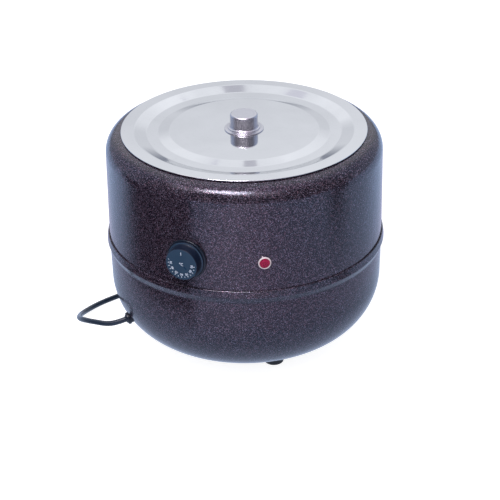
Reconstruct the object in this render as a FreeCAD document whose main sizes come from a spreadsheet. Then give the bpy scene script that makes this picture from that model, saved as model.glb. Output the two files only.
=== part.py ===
import FreeCAD, Part
import math
import os
import re

import Sketcher
from FreeCAD import Placement, Rotation, Vector

# A round electric soup kettle. Millimetres, +Z up. The kettle's axis is Z, the table is z = 0
# and the dial looks along -Y. An azimuth is counted from -Y towards +X, in degrees.

sizes = [
    # pressed shells
    ("bodyRadius", 175.0, "upper shell, outside, below the shoulder"),
    ("bodyFlare", 1.1, "how much wider the upper shell is at the seam"),
    ("shellWall", 1.2, "sheet of both shells"),
    ("shellTop", 290.0, "top of the shoulder"),
    ("shoulderRadius", 24.0, "rounding of the shoulder"),
    ("rebateDepth", 2.6, "ledge below the top of the shoulder"),
    ("ledgeWidth", 5.0, "ledge that the tank's flange seats on"),
    ("hemDepth", 7.4, "turned down edge of the opening"),
    ("seamHeight", 155.0, "top edge of the lower shell"),
    ("skirtOverlap", 12.5, "upper shell inside the lower one"),
    ("skirtGap", 0.2, "play between the two shells"),
    ("bandHeight", 8.6, "slanting band under the seam"),
    ("lipFlare", 1.8, "how far the band stands proud"),
    ("bandLean", 1.4, "how far the band leans in at its top"),
    ("stepHeight", 8.0, "step below the band"),
    ("stepFlare", 0.7, "lower shell below the step"),
    ("lowerFlare", 0.3, "how much wider the lower shell is above its corner"),
    ("cornerRadius", 80.0, "large lower corner"),
    ("footHeight", 16.0, "underside of the lower shell"),
    # water bath
    ("gasketThickness", 0.8, "seal on the ledge"),
    ("flangeGap", 0.5, "play round the tank's flange"),
    ("wellGap", 4.2, "tank inside the opening"),
    ("wellWall", 0.8, "sheet of the tank"),
    ("wellBottom", 88.0, "underside of the tank"),
    ("wellCorner", 12.0, "tank's lower corner"),
    # soup pot
    ("potGap", 3.4, "pot inside the tank"),
    ("potWall", 1.0, "sheet of the pot"),
    ("potBottom", 100.0, "underside of the pot"),
    ("potCorner", 20.0, "pot's lower corner"),
    ("potMouth", 3.0, "rounding of the pot's mouth"),
    ("potRimGap", 0.4, "pot's rim inside the tank's flange"),
    ("potRimHeight", 2.4, "rolled rim of the pot"),
    ("beadWidth", 3.0, "width of the rolled rim"),
    # lid
    ("lidOverhang", 4.0, "lid's rim past the rebate"),
    ("lidThickness", 0.8, "sheet of the lid"),
    ("lidHem", 1.2, "folded edge of the lid"),
    ("hemWidth", 3.0, "width of the folded edge"),
    ("rimLand", 1.4, "inside of the flat rim past the pot's wall"),
    ("rimSlope", 14.0, "slope from the rim down to the sunk ring"),
    ("ringWidth", 12.0, "sunk ring"),
    ("middleSlope", 7.0, "slope up to the raised middle"),
    ("ringDepth", 6.0, "sunk ring below the rim"),
    ("middleDepth", 2.0, "raised middle below the rim"),
    ("bendRadius", 6.0, "bends of the lid's sheet"),
    # lid knob
    ("knobRadius", 17.5, "cap of the knob"),
    ("knobHeight", 20.7, "knob above the lid"),
    ("knobFlange", 24.7, "brim of the knob"),
    ("knobWall", 1.2, "wall of the knob"),
    ("knobRound", 2.5, "rounding of the knob's top"),
    ("knobBoss", 6.0, "screw boss inside the knob"),
    ("knobScrew", 2.5, "knob screw's radius"),
    ("screwPlay", 0.2, "play of a screw in its hole"),
    # dial and its regulator
    ("controlsRise", 38.0, "dial and lamp above the seam"),
    ("bezelRadius", 24.0, "fixed ring behind the dial"),
    ("bezelFace", 2.3, "front of the ring above the shell"),
    ("bezelBore", 8.0, "opening of the ring"),
    ("dialGap", 0.4, "play between ring and dial"),
    ("dialSkirt", 22.8, "skirt of the dial"),
    ("dialRadius", 20.0, "face of the dial"),
    ("dialFace", 16.3, "face of the dial above the shell"),
    ("shaftRadius", 3.0, "regulator's shaft"),
    ("shaftPlay", 0.05, "running play of the shaft"),
    ("bushRadius", 5.0, "regulator's bush"),
    ("plateHalf", 21.0, "half the regulator's front plate"),
    ("regulatorDepth", 22.0, "regulator's case"),
    ("regulatorHeight", 30.0, "regulator's case"),
    ("screwSpread", 14.0, "regulator's screws from its shaft"),
    # pilot lamp
    ("lampAngle", 30.9, "azimuth of the lamp"),
    ("lampRing", 7.8, "lamp's ring"),
    ("lampSleeve", 6.6, "lamp's sleeve"),
    ("lensRadius", 5.85, "lamp's lens"),
    ("lensDome", 1.1, "bulge of the lens"),
    # mains lead
    ("glandAngle", -43.6, "azimuth of the gland"),
    ("glandTurn", -56.3, "azimuth that the lead leaves along"),
    ("glandDip", 18.0, "how far the lead points down"),
    ("glandHeight", 53.7, "gland above the table"),
    ("glandRadius", 8.0, "gland's flange"),
    ("glandThread", 5.9, "gland's thread"),
    ("glandNose", 6.0, "gland in front of the shell"),
    ("cordRadius", 3.5, "lead"),
    ("coilMiddle", 38.0, "middle of the coil's turns"),
    ("coilHeight", 20.8, "three layers of the lead"),
    ("plugRadius", 18.4, "plug's body"),
    # heater
    ("elementInset", 51.0, "ring of the element inside the tank's wall"),
    ("elementTube", 4.2, "element's tube"),
    ("legLength", 8.0, "element's straight ends"),
    ("studRadius", 3.0, "stud in the middle"),
    ("clampWall", 1.2, "clamp plate"),
    ("shieldDrop", 9.5, "room between the nuts of clamp and shield"),
    ("shieldWall", 0.8, "sheet of the heat shield"),
    ("shieldInset", 16.8, "heat shield inside the tank's outside"),
    ("nutHeight", 5.0, "nuts on the stud"),
    ("nutRadius", 5.77, "nuts on the stud, over their corners"),
    # insulation
    ("sleeveGap", 0.4, "play between tank and wool"),
    ("sleeveWall", 15.0, "mineral wool"),
    ("sleeveBottom", 92.0, "wool's lower edge"),
    ("sleeveTop", 278.0, "wool's upper edge"),
    ("cutoutStep", 16.0, "safety cut-out, degrees past the lamp"),
    ("woolClear", 16.55, "wool's edge, degrees past the cut-out"),
    ("woolOpening", 32.55, "wool's other edge, degrees before the dial"),
    # feet
    ("footInset", 1.3, "feet inside the flat floor's edge"),
    ("footAngle", 45.0, "azimuth of the first foot"),
    ("footTop", 14.0, "foot at the shell"),
    ("footBase", 12.6, "foot at the table"),
    ("footRound", 1.6, "rounding of the foot's edge"),
    ("seatGap", 0.05, "play between curved seats"),
    # mains connection
    ("blockInset", 29.3, "terminal block inside the flat floor's edge"),
    ("blockLength", 38.0, "terminal block"),
    ("blockDepth", 20.0, "terminal block"),
    ("blockHeight", 16.0, "terminal block"),
    ("poleSpacing", 12.0, "poles of the terminal block"),
    ("tubeDrop", 30.0, "sensor's tube below the regulator"),
    ("wireDrop", 34.0, "wires behind the wall, above where they turn in"),
]

doc = FreeCAD.newDocument("SoupKettle")
sheet = doc.addObject("Spreadsheet::Sheet", "Sizes")
for row, (name, value, note) in enumerate(sizes, 1):
    sheet.set(f"A{row}", note)
    sheet.set(f"B{row}", str(value))
    sheet.setAlias(f"B{row}", name)
doc.recompute()

names = {name for name, value, note in sizes}
pieces = []


def bound(expression):
    """An expression on the sheet's names, as another object has to write it."""
    text = str(expression)
    return re.sub(r"[A-Za-z]\w*", lambda word: f"Sizes.{word[0]}" if word[0] in names else word[0], text)


def size(expression):
    return float(sheet.evalExpression(str(expression)))


def keep(thing, label):
    """Name a finished piece, which then becomes a file of its own."""
    thing.Label = label
    pieces.append(thing)
    return thing


def place(thing, at, turn=None):
    if turn is not None:
        thing.Placement = Placement(Vector(), turn)
    for axis, expression in zip("xyz", at):
        thing.setExpression(f"Placement.Base.{axis}", bound(expression))
    return thing


def radial(angle, radius):
    """X and Y of a point at an azimuth."""
    return f"({radius}) * sin({angle})", f"-({radius}) * cos({angle})"


def facing(angle, dip=0.0):
    """The turn that points a piece's own Z outwards at an azimuth, and down by the dip."""
    return Rotation(Vector(0, 0, 1), angle) * Rotation(Vector(1, 0, 0), 90 + dip)


def fix(sketch, geometry, vertex, axis, expression):
    number = sketch.addConstraint(
        Sketcher.Constraint(f"Distance{axis}", -1, 1, geometry, vertex, size(expression)))
    sketch.setExpression(f"Constraints[{number}]", bound(expression))


def outline(body, plane, points):
    """A closed sketch. A point is (x, y), or (x, y, centre x, centre y, way) where an arc ends."""
    sketch = body.newObject("Sketcher::SketchObject", "Outline")
    origin = next(item for item in body.Origin.OriginFeatures if item.Role == plane)
    sketch.AttachmentSupport = (origin, [""])
    sketch.MapMode = "FlatFace"
    corners = [Vector(size(point[0]), size(point[1]), 0) for point in points]
    ends = []
    for number, point in enumerate(points):
        start, end = corners[number - 1], corners[number]
        if len(point) == 2:
            geometry = sketch.addGeometry(Part.LineSegment(start, end))
            ends.append((geometry, 1, 2))
            fix(sketch, geometry, 2, "X", point[0])
            fix(sketch, geometry, 2, "Y", point[1])
            continue
        centre = Vector(size(point[2]), size(point[3]), 0)
        circle = Part.Circle(centre, Vector(0, 0, 1), centre.distanceToPoint(start))
        first, last = (circle.parameter(corner) for corner in (start, end))
        if point[4] == "cw":
            first, last = last, first
        arc = Part.ArcOfCircle(circle, first, last if last > first else last + 2 * math.pi)
        geometry = sketch.addGeometry(arc)
        start_vertex, end_vertex = (2, 1) if point[4] == "cw" else (1, 2)
        ends.append((geometry, start_vertex, end_vertex))
        fix(sketch, geometry, 3, "X", point[2])
        fix(sketch, geometry, 3, "Y", point[3])
        reach = end - centre
        level = abs(reach.x) > abs(reach.y)
        fix(sketch, geometry, end_vertex, "Y" if level else "X", point[1] if level else point[0])
    for number, (geometry, start_vertex, end_vertex) in enumerate(ends):
        before, unused, before_end = ends[number - 1]
        sketch.addConstraint(
            Sketcher.Constraint("Coincident", before, before_end, geometry, start_vertex))
    return sketch


def turned(label, points, span="360"):
    """A body of revolution about its own Z, from points of (radius, height)."""
    body = doc.addObject("PartDesign::Body", "Body")
    body.Label = label
    sketch = outline(body, "XZ_Plane", points)
    revolution = body.newObject("PartDesign::Revolution", "Revolution")
    revolution.Profile = sketch
    revolution.ReferenceAxis = (sketch, ["V_Axis"])
    revolution.setExpression("Angle", bound(span))
    doc.recompute()
    return body


def padded(label, points, height):
    """A prism along its own Z."""
    body = doc.addObject("PartDesign::Body", "Body")
    body.Label = label
    sketch = outline(body, "XY_Plane", points)
    pad = body.newObject("PartDesign::Pad", "Pad")
    pad.Profile = sketch
    pad.setExpression("Length", bound(height))
    doc.recompute()
    return body


def filleted(body, rings, radius):
    """Round the circular edges of a turned body that lie at the given (radius, height)."""
    base = body.Tip
    wanted = [(size(ring[0]), size(ring[1])) for ring in rings]
    edges = []
    for number, edge in enumerate(base.Shape.Edges, 1):
        point = edge.Vertexes[0].Point
        seat = math.hypot(point.x, point.y), point.z
        closed = len(edge.Vertexes) == 1
        if closed and any(math.dist(seat, ring) < 0.01 for ring in wanted):
            edges.append(f"Edge{number}")
    fillet = body.newObject("PartDesign::Fillet", "Fillet")
    fillet.Base = (base, edges)
    fillet.setExpression("Radius", bound(radius))
    doc.recompute()
    return body


def cylinder(radius, height, at, turn=None):
    tool = doc.addObject("Part::Cylinder", "Cylinder")
    tool.setExpression("Radius", bound(radius))
    tool.setExpression("Height", bound(height))
    return place(tool, at, turn)


def box(length, width, height, at, turn=None):
    """A box whose own origin is the middle of its lower face."""
    block = doc.addObject("Part::Box", "Box")
    for side, expression in zip(("Length", "Width", "Height"), (length, width, height)):
        block.setExpression(side, bound(expression))
    turn = turn or Rotation()
    shift = turn.multVec(Vector(-size(length) / 2, -size(width) / 2, 0))
    moved = [f"{expression} + {part!r}" for expression, part in zip(at, shift)]
    return place(block, moved, turn)


def joined(things, label="joined"):
    group = doc.addObject("Part::MultiFuse", "Fuse")
    group.Shapes = list(things)
    group.Label = label
    return group


def cut(base, tools, label="cut"):
    result = doc.addObject("Part::Cut", "Cut")
    result.Base = base
    result.Tool = tools[0] if len(tools) == 1 else joined(tools, f"{label} tools")
    result.Label = label
    return result


def grouped(things, label):
    """Separate solids that share one node."""
    group = doc.addObject("Part::Compound", "Group")
    group.Links = list(things)
    return keep(group, label)


def along(origin, direction, distance):
    """A point a distance along a direction, as three expressions."""
    return [f"{base} + ({distance}) * ({part!r})" for base, part in zip(origin, direction)]


def smooth_path(points, label):
    """Straight runs joined by tangent arcs, each 0.45 of its shorter run."""
    edges, radii, start = [], [], points[0]
    for before, corner, after in zip(points, points[1:], points[2:]):
        arriving, leaving = corner - before, after - corner
        turn = arriving.getAngle(leaving)
        reach = 0.45 * min(arriving.Length, leaving.Length)
        radius = reach / math.tan(turn / 2)
        arriving.normalize()
        leaving.normalize()
        entry, leave = corner - arriving * reach, corner + leaving * reach
        inward = (leaving - arriving).normalize()
        middle = corner + inward * (radius / math.cos(turn / 2) - radius)
        edges.append(Part.LineSegment(start, entry).toShape())
        edges.append(Part.Arc(entry, middle, leave).toShape())
        radii.append(round(radius, 1))
        start = leave
    edges.append(Part.LineSegment(start, points[-1]).toShape())
    print(label, "bend radii", radii)
    return Part.Wire(edges)


def tube_shape(wire, radius, label):
    first = wire.OrderedEdges[0]
    ring = Part.Wire(Part.makeCircle(radius, first.firstVertex().Point, first.tangentAt(first.FirstParameter)))
    shape = wire.makePipeShell([ring], True, False)
    expected = math.pi * radius ** 2 * wire.Length
    print(label, "length", round(wire.Length, 1), "volume ratio", round(shape.Volume / expected, 4))
    return shape


def tube(points, radius, label):
    feature = doc.addObject("Part::Feature", "Tube")
    feature.Shape = tube_shape(smooth_path(points, label), radius, label)
    feature.Label = label
    return feature


# Heights and radii that several pieces share
shoulderZ = "(shellTop - shoulderRadius)"
rebateRadius = "(bodyRadius - shoulderRadius)"
mouthRadius = f"({rebateRadius} - ledgeWidth)"
ledgeZ = "(shellTop - rebateDepth)"
skirtRadius = "(bodyRadius + bodyFlare)"
skirtZ = "(seamHeight - skirtOverlap)"
neckRadius = f"({skirtRadius} + skirtGap + shellWall)"
bandZ = "(seamHeight - bandHeight)"
stepZ = f"({bandZ} - stepHeight)"
lipRadius = f"({neckRadius} + lipFlare)"
lowerRadius = "(bodyRadius + lowerFlare)"
stepRadius = f"({lowerRadius} + stepFlare)"
cornerX = f"({lowerRadius} - cornerRadius)"
cornerZ = "(footHeight + cornerRadius)"
wellOuter = f"({mouthRadius} - wellGap)"
wellRadius = f"({wellOuter} - wellWall)"
flangeZ = f"({ledgeZ} + gasketThickness)"
flangeRadius = f"({rebateRadius} - flangeGap)"
potOuter = f"({wellRadius} - potGap)"
potRadius = f"({potOuter} - potWall)"
potSeat = f"({flangeZ} + wellWall)"
potRim = f"({flangeRadius} - potRimGap)"
lidSeat = f"({potSeat} + potRimHeight)"
lidZ = f"({lidSeat} + lidThickness)"
middleZ = f"({lidZ} - middleDepth)"
lidRadius = f"({rebateRadius} + lidOverhang)"
rimInner = f"({potRadius} + rimLand)"
ringOuter = f"({rimInner} - rimSlope)"
ringInner = f"({ringOuter} - ringWidth)"
middleRadius = f"({ringInner} - middleSlope)"
controlsHeight = "(seamHeight + controlsRise)"
wallAtControls = f"(bodyRadius + bodyFlare * ({shoulderZ} - {controlsHeight}) / ({shoulderZ} - seamHeight))"
elementRing = f"({wellRadius} - elementInset)"
shieldRadius = f"({wellOuter} - shieldInset)"
footCircle = f"({cornerX} - footInset)"
elementZ = "(wellBottom - elementTube - seatGap)"
clampTop = f"({elementZ} - elementTube - seatGap)"
shieldHeight = f"({clampTop} - clampWall - 2 * nutHeight - shieldDrop - shieldWall)"
sleeveSpan = "(360 - lampAngle - cutoutStep - woolClear - woolOpening)"
studHole = "(studRadius + screwPlay)"
panFloor = "(footHeight + shellWall)"


def pan_profile(offset):
    """The lower shell's outline moved inwards by offset, closed to the axis."""
    return [
        ("0", f"footHeight + {offset}"),
        (cornerX, f"footHeight + {offset}"),
        (f"{lowerRadius} - {offset}", cornerZ, cornerX, cornerZ, "ccw"),
        (f"{stepRadius} - {offset}", stepZ),
        (f"{lipRadius} - {offset}", bandZ),
        (f"{lipRadius} - {offset}", "seamHeight"),
        ("0", "seamHeight"),
    ]


# Upper shell: wall, shoulder, rebate for the tank's flange and a turned down edge
shell = turned("upper shell blank", [
    (f"{skirtRadius} - shellWall", skirtZ),
    (skirtRadius, skirtZ),
    (skirtRadius, "seamHeight"),
    ("bodyRadius", shoulderZ),
    (rebateRadius, "shellTop", rebateRadius, shoulderZ, "ccw"),
    (rebateRadius, ledgeZ),
    (mouthRadius, ledgeZ),
    (mouthRadius, f"{ledgeZ} - hemDepth"),
    (f"{mouthRadius} + shellWall", f"{ledgeZ} - hemDepth"),
    (f"{mouthRadius} + shellWall", f"{ledgeZ} - shellWall"),
    (f"{rebateRadius} + shellWall", f"{ledgeZ} - shellWall"),
    (f"{rebateRadius} + shellWall",
     f"{shoulderZ} + sqrt((shoulderRadius - shellWall) ^ 2 - shellWall ^ 2)"),
    ("bodyRadius - shellWall", shoulderZ, rebateRadius, shoulderZ, "cw"),
    (f"{skirtRadius} - shellWall", "seamHeight"),
])
dialAt = ("0", f"-{wallAtControls}", controlsHeight)
dialTurn = facing(0)
lampAt = (*radial("lampAngle", wallAtControls), controlsHeight)
lampTurn = facing(size("lampAngle"))
drillDepth = 16.0


def drilled(radius, at, turn, sideways="0"):
    """A hole's tool, drilled inwards through a wall at a point."""
    outwards = turn.multVec(Vector(0, 0, 1))
    start = along(at, outwards, -drillDepth / 2)
    aside = turn.multVec(Vector(1, 0, 0))
    return cylinder(radius, drillDepth, along(start, aside, sideways), turn)


keep(cut(shell, [
    drilled("bushRadius + 0.6", dialAt, dialTurn),
    drilled("2 + screwPlay", dialAt, dialTurn, "screwSpread"),
    drilled("2 + screwPlay", dialAt, dialTurn, "-screwSpread"),
    drilled("lampSleeve + 0.1", lampAt, lampTurn),
]), "upper_shell")

# Lower shell: a deep pan that steps out round the upper shell's skirt and leans back in to meet it
pan = turned("lower shell blank", [
    (studHole, panFloor),
    (studHole, "footHeight"),
    (cornerX, "footHeight"),
    (lowerRadius, cornerZ, cornerX, cornerZ, "ccw"),
    (stepRadius, stepZ),
    (lipRadius, bandZ),
    (f"{lipRadius} - bandLean", "seamHeight - 0.5"),
    (f"{lipRadius} - bandLean - 0.5", "seamHeight"),
    (f"{skirtRadius} + skirtGap", "seamHeight"),
    (f"{skirtRadius} + skirtGap", "seamHeight - shellWall"),
    (f"{lipRadius} - bandLean - shellWall", "seamHeight - shellWall"),
    (f"{lipRadius} - shellWall", bandZ),
    (f"{stepRadius} - shellWall", stepZ),
    (f"{lowerRadius} - shellWall", cornerZ),
    (cornerX, panFloor, cornerX, cornerZ, "cw"),
])
glandOut = f"({cornerX} + sqrt(cornerRadius ^ 2 - ({cornerZ} - glandHeight) ^ 2))"
glandAt = (*radial("glandAngle", glandOut), "glandHeight")
glandAxis = facing(size("glandTurn"), size("glandDip"))
footAngles = [f"(footAngle + {quarter * 90})" for quarter in range(4)]
footNames = ["foot_front_right", "foot_rear_right", "foot_rear_left", "foot_front_left"]
footScrew = 2.0
keep(cut(pan, [drilled("glandThread + 0.1", glandAt, glandAxis)] + [
    cylinder(f"{footScrew} + screwPlay", drillDepth, (*radial(angle, footCircle), "footHeight - 3"))
    for angle in footAngles
]), "lower_shell")

# Solids that trim what seats on the curved walls
panOutside = turned("space of the lower shell", pan_profile("(0 - seatGap)"))
panInside = turned("space in the lower shell", pan_profile("(shellWall + seatGap)"))
shellOutside = turned("space of the upper shell", [
    ("0", "seamHeight"),
    (f"{skirtRadius} + seatGap", "seamHeight"),
    ("bodyRadius + seatGap", shoulderZ),
    ("0", shoulderZ),
])

# Water bath: the tank's flange lies on a seal in the rebate
keep(turned("well_gasket", [
    (mouthRadius, ledgeZ),
    (flangeRadius, ledgeZ),
    (flangeRadius, flangeZ),
    (mouthRadius, flangeZ),
]), "well_gasket")
wellTurn = f"({wellOuter} - wellCorner)"
keep(turned("water_well", [
    ("0", "wellBottom"),
    (wellTurn, "wellBottom"),
    (wellOuter, "wellBottom + wellCorner", wellTurn, "wellBottom + wellCorner", "ccw"),
    (wellOuter, flangeZ),
    (flangeRadius, flangeZ),
    (flangeRadius, potSeat),
    (wellRadius, potSeat),
    (wellRadius, "wellBottom + wellCorner"),
    (wellTurn, "wellBottom + wellWall", wellTurn, "wellBottom + wellCorner", "cw"),
    ("0", "wellBottom + wellWall"),
]), "water_well")

# Soup pot: rests on the tank's flange by its own rim
potTurn = f"({potOuter} - potCorner)"
potMouthX = f"({potRadius} + potMouth)"
potMouthZ = f"({potSeat} + potWall - potMouth)"
keep(turned("inner_pot", [
    ("0", "potBottom"),
    (potTurn, "potBottom"),
    (potOuter, "potBottom + potCorner", potTurn, "potBottom + potCorner", "ccw"),
    (potOuter, potMouthZ),
    (potMouthX, potSeat, potMouthX, potMouthZ, "cw"),
    (potRim, potSeat),
    (potRim, lidSeat),
    (f"{potRim} - beadWidth", lidSeat),
    (f"{potRim} - beadWidth", f"{potSeat} + potWall"),
    (potMouthX, f"{potSeat} + potWall"),
    (potRadius, potMouthZ, potMouthX, potMouthZ, "ccw"),
    (potRadius, "potBottom + potCorner"),
    (potTurn, "potBottom + potWall", potTurn, "potBottom + potCorner", "cw"),
    ("0", "potBottom + potWall"),
]), "inner_pot")

# Lid: flat rim, sunk ring, raised middle, folded edge
lidHole = "(knobScrew + screwPlay)"
ringZ = f"({lidZ} - ringDepth)"
bends = [(middleRadius, middleZ), (ringInner, ringZ), (ringOuter, ringZ), (rimInner, lidZ)]
lidUnder = [(radius, f"{height} - lidThickness") for radius, height in bends]
lid = turned("lid", [
    (lidHole, f"{middleZ} - lidThickness"),
    *lidUnder,
    (f"{lidRadius} - hemWidth", lidSeat),
    (f"{lidRadius} - hemWidth", f"{lidZ} - lidHem"),
    (lidRadius, f"{lidZ} - lidHem"),
    (lidRadius, lidZ),
    *reversed(bends),
    (lidHole, middleZ),
])
filleted(lid, bends + lidUnder, "bendRadius")
filleted(lid, [(lidRadius, lidZ), (lidRadius, f"{lidZ} - lidHem")], "lidHem * 0.4")
keep(lid, "lid")

# Knob: a hollow top hat on a screw boss
knobTop = f"({middleZ} + knobHeight)"
threadTop = f"({middleZ} + knobHeight - 8)"
keep(turned("lid_knob", [
    ("knobScrew", middleZ),
    ("knobBoss", middleZ),
    ("knobBoss", f"{knobTop} - knobWall"),
    ("knobRadius - knobWall", f"{knobTop} - knobWall"),
    ("knobRadius - knobWall", middleZ),
    ("knobFlange", middleZ),
    ("knobFlange", f"{middleZ} + 0.7"),
    ("knobFlange - 0.5", f"{middleZ} + 1.2"),
    ("knobFlange - 4.2", f"{middleZ} + 1.7"),
    ("knobFlange - 4.6", f"{middleZ} + 2.7"),
    ("knobRadius + 2.4", f"{middleZ} + 3"),
    ("knobRadius", f"{middleZ} + 5.4", "knobRadius + 2.4", f"{middleZ} + 5.4", "cw"),
    ("knobRadius", f"{knobTop} - knobRound"),
    ("knobRadius - knobRound", knobTop, "knobRadius - knobRound", f"{knobTop} - knobRound", "ccw"),
    ("0", knobTop),
    ("0", threadTop),
    ("knobScrew", threadTop),
]), "lid_knob")
washerZ = f"({middleZ} - lidThickness)"
keep(turned("lid_knob_washer", [
    (lidHole, f"{washerZ} - 1"),
    ("knobScrew * 2.4", f"{washerZ} - 1"),
    ("knobScrew * 2.4", washerZ),
    (lidHole, washerZ),
]), "lid_knob_washer")
headZ = f"({washerZ} - 1)"
keep(turned("lid_knob_screw", [
    ("0", f"{headZ} - 3"),
    ("knobScrew * 1.4", f"{headZ} - 3"),
    ("knobScrew * 1.9", f"{headZ} - 1.8"),
    ("knobScrew * 1.9", headZ),
    ("knobScrew - seatGap", headZ),
    ("knobScrew - seatGap", f"{threadTop} - 0.5"),
    ("0", f"{threadTop} - 0.5"),
]), "lid_knob_screw")

# Dial: fixed ring, dial, shaft and the regulator behind the shell
ring = place(turned("bezel blank", [
    ("bezelBore", "bezelFace - 0.9"),
    ("bezelRadius - 2.2", "bezelFace - 0.9"),
    ("bezelRadius - 2.2", "-1.8"),
    ("bezelRadius", "-1.8"),
    ("bezelRadius", "bezelFace - 0.8"),
    ("bezelRadius - 0.8", "bezelFace", "bezelRadius - 0.8", "bezelFace - 0.8", "ccw"),
    ("bezelBore", "bezelFace"),
]), dialAt, dialTurn)
keep(cut(ring, [shellOutside]), "dial_bezel")
dialBack = "(bezelFace + dialGap)"
shaftEnd = "(dialFace - 3.4)"
keep(place(turned("control_dial", [
    ("shaftRadius + seatGap", f"{dialBack} + 0.5"),
    ("shaftRadius + 3", f"{dialBack} + 0.5"),
    ("shaftRadius + 3", "dialFace - 2.4"),
    ("dialRadius - 2.2", "dialFace - 2.4"),
    ("dialRadius - 1.6", dialBack),
    ("dialSkirt", dialBack),
    ("dialSkirt", f"{dialBack} + 1.3"),
    ("dialSkirt - 0.5", f"{dialBack} + 1.8"),
    ("dialRadius + 0.8", f"{dialBack} + 2.2"),
    ("dialRadius", "dialFace - 0.9"),
    ("dialRadius - 0.9", "dialFace"),
    ("0", "dialFace"),
    ("0", shaftEnd),
    ("shaftRadius + seatGap", shaftEnd),
]), dialAt, dialTurn), "control_dial")
plateS = f"(sqrt(({wallAtControls} - shellWall) ^ 2 - plateHalf ^ 2) - {wallAtControls} - 0.1)"
outwards = dialTurn.multVec(Vector(0, 0, 1))
shaftIn = f"({plateS} - 8)"
shaft = cylinder("shaftRadius", f"{shaftEnd} - {shaftIn} - 0.2", along(dialAt, outwards, shaftIn), dialTurn)
flat = box("shaftRadius * 2", "2", "10", [
    dialAt[0], f"{dialAt[1]} - {shaftEnd} + 10", f"{dialAt[2]} + shaftRadius + 0.2"], dialTurn)
keep(cut(shaft, [flat]), "thermostat_shaft")
case = joined([
    box("plateHalf * 2", "26", "1.5", along(dialAt, outwards, f"{plateS} - 1.5"), dialTurn),
    box("36", "regulatorHeight", "regulatorDepth",
        along(dialAt, outwards, f"{plateS} - 1.5 - regulatorDepth"), dialTurn),
    cylinder("bushRadius", f"0.6 - {plateS}", along(dialAt, outwards, plateS), dialTurn),
], "regulator blank")
keep(cut(case, [
    cylinder("shaftRadius + shaftPlay", "40", along(dialAt, outwards, f"{shaftIn} - 1"), dialTurn),
    drilled("2 + screwPlay / 4", dialAt, dialTurn, "screwSpread"),
    drilled("2 + screwPlay / 4", dialAt, dialTurn, "-screwSpread"),
]), "thermostat_body")
screwHead = f"(sqrt({wallAtControls} ^ 2 - (screwSpread - 3.4) ^ 2) - {wallAtControls} + 2 * seatGap)"


def regulator_screw(side):
    seat = along(dialAt, dialTurn.multVec(Vector(1, 0, 0)), side)
    head = cylinder("3.4", f"bezelFace - 1 - {screwHead}", along(seat, outwards, screwHead), dialTurn)
    shank = cylinder("1.9", "5", along(seat, outwards, f"{screwHead} - 4.9"), dialTurn)
    return joined([head, shank])


grouped([regulator_screw("screwSpread"), regulator_screw("-screwSpread")], "thermostat_screws")

# Pilot lamp
keep(place(turned("pilot_bezel", [
    ("lensRadius + 0.1", "-6"),
    ("lampSleeve", "-6"),
    ("lampSleeve", "3 * seatGap"),
    ("lampRing", "3 * seatGap"),
    ("lampRing", "1.2"),
    ("lampRing - 0.8", "2", "lampRing - 0.8", "1.2", "ccw"),
    ("lensRadius + 0.5", "2"),
    ("lensRadius + 0.1", "1.5"),
]), lampAt, lampTurn), "pilot_bezel")
lensRim = 1.3
domeRadius = "((lensRadius ^ 2 + lensDome ^ 2) / (2 * lensDome))"
keep(place(turned("pilot_lens", [
    ("0", "-5.5"),
    ("lensRadius", "-5.5"),
    ("lensRadius", f"{lensRim}"),
    ("0", f"{lensRim} + lensDome", "0", f"{lensRim} + lensDome - {domeRadius}", "ccw"),
]), lampAt, lampTurn), "pilot_lens")
lampOut = lampTurn.multVec(Vector(0, 0, 1))
lampSide = lampTurn.multVec(Vector(1, 0, 0))
keep(joined([
    cylinder("lensRadius - 0.1", "15", along(lampAt, lampOut, "-20.6"), lampTurn),
    box("0.8", "5", "5", along(along(lampAt, lampOut, "-25.4"), lampSide, "2.5"), lampTurn),
    box("0.8", "5", "5", along(along(lampAt, lampOut, "-25.4"), lampSide, "-2.5"), lampTurn),
]), "pilot_lamp_body")
keep(place(turned("pilot_nut", [
    ("lampSleeve + seatGap", "0 - shellWall - 2"),
    ("lampSleeve + 3", "0 - shellWall - 2"),
    ("lampSleeve + 3", "0 - shellWall - 0.4"),
    ("lampSleeve + seatGap", "0 - shellWall - 0.4"),
]), lampAt, lampTurn), "pilot_nut")

# Gland: the flange is trimmed to the pan's curved wall, and so is the nut inside
glandFlange = place(turned("gland flange", [
    ("cordRadius + seatGap", "-5"),
    ("glandRadius", "-5"),
    ("glandRadius", "glandNose - 2.6"),
    ("glandRadius - 1.2", "glandNose - 1.4", "glandRadius - 1.2", "glandNose - 2.6", "ccw"),
    ("cordRadius + 1.6", "glandNose - 1"),
    ("cordRadius + 1.2", "glandNose"),
    ("cordRadius + seatGap", "glandNose"),
]), glandAt, glandAxis)
glandThreadTube = place(turned("gland thread", [
    ("cordRadius + seatGap", "-14"),
    ("glandThread", "-14"),
    ("glandThread", "1"),
    ("cordRadius + seatGap", "1"),
]), glandAt, glandAxis)
keep(joined([cut(glandFlange, [panOutside]), glandThreadTube]), "cord_gland")
nutBlank = place(turned("gland nut blank", [
    ("glandThread + seatGap", "-10"),
    ("glandRadius + 1.6", "-10"),
    ("glandRadius + 1.6", "0"),
    ("glandThread + seatGap", "0"),
]), glandAt, glandAxis)
glandNut = doc.addObject("Part::Common", "Common")
glandNut.Base = nutBlank
glandNut.Tool = panInside
keep(glandNut, "gland_nut")

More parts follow.
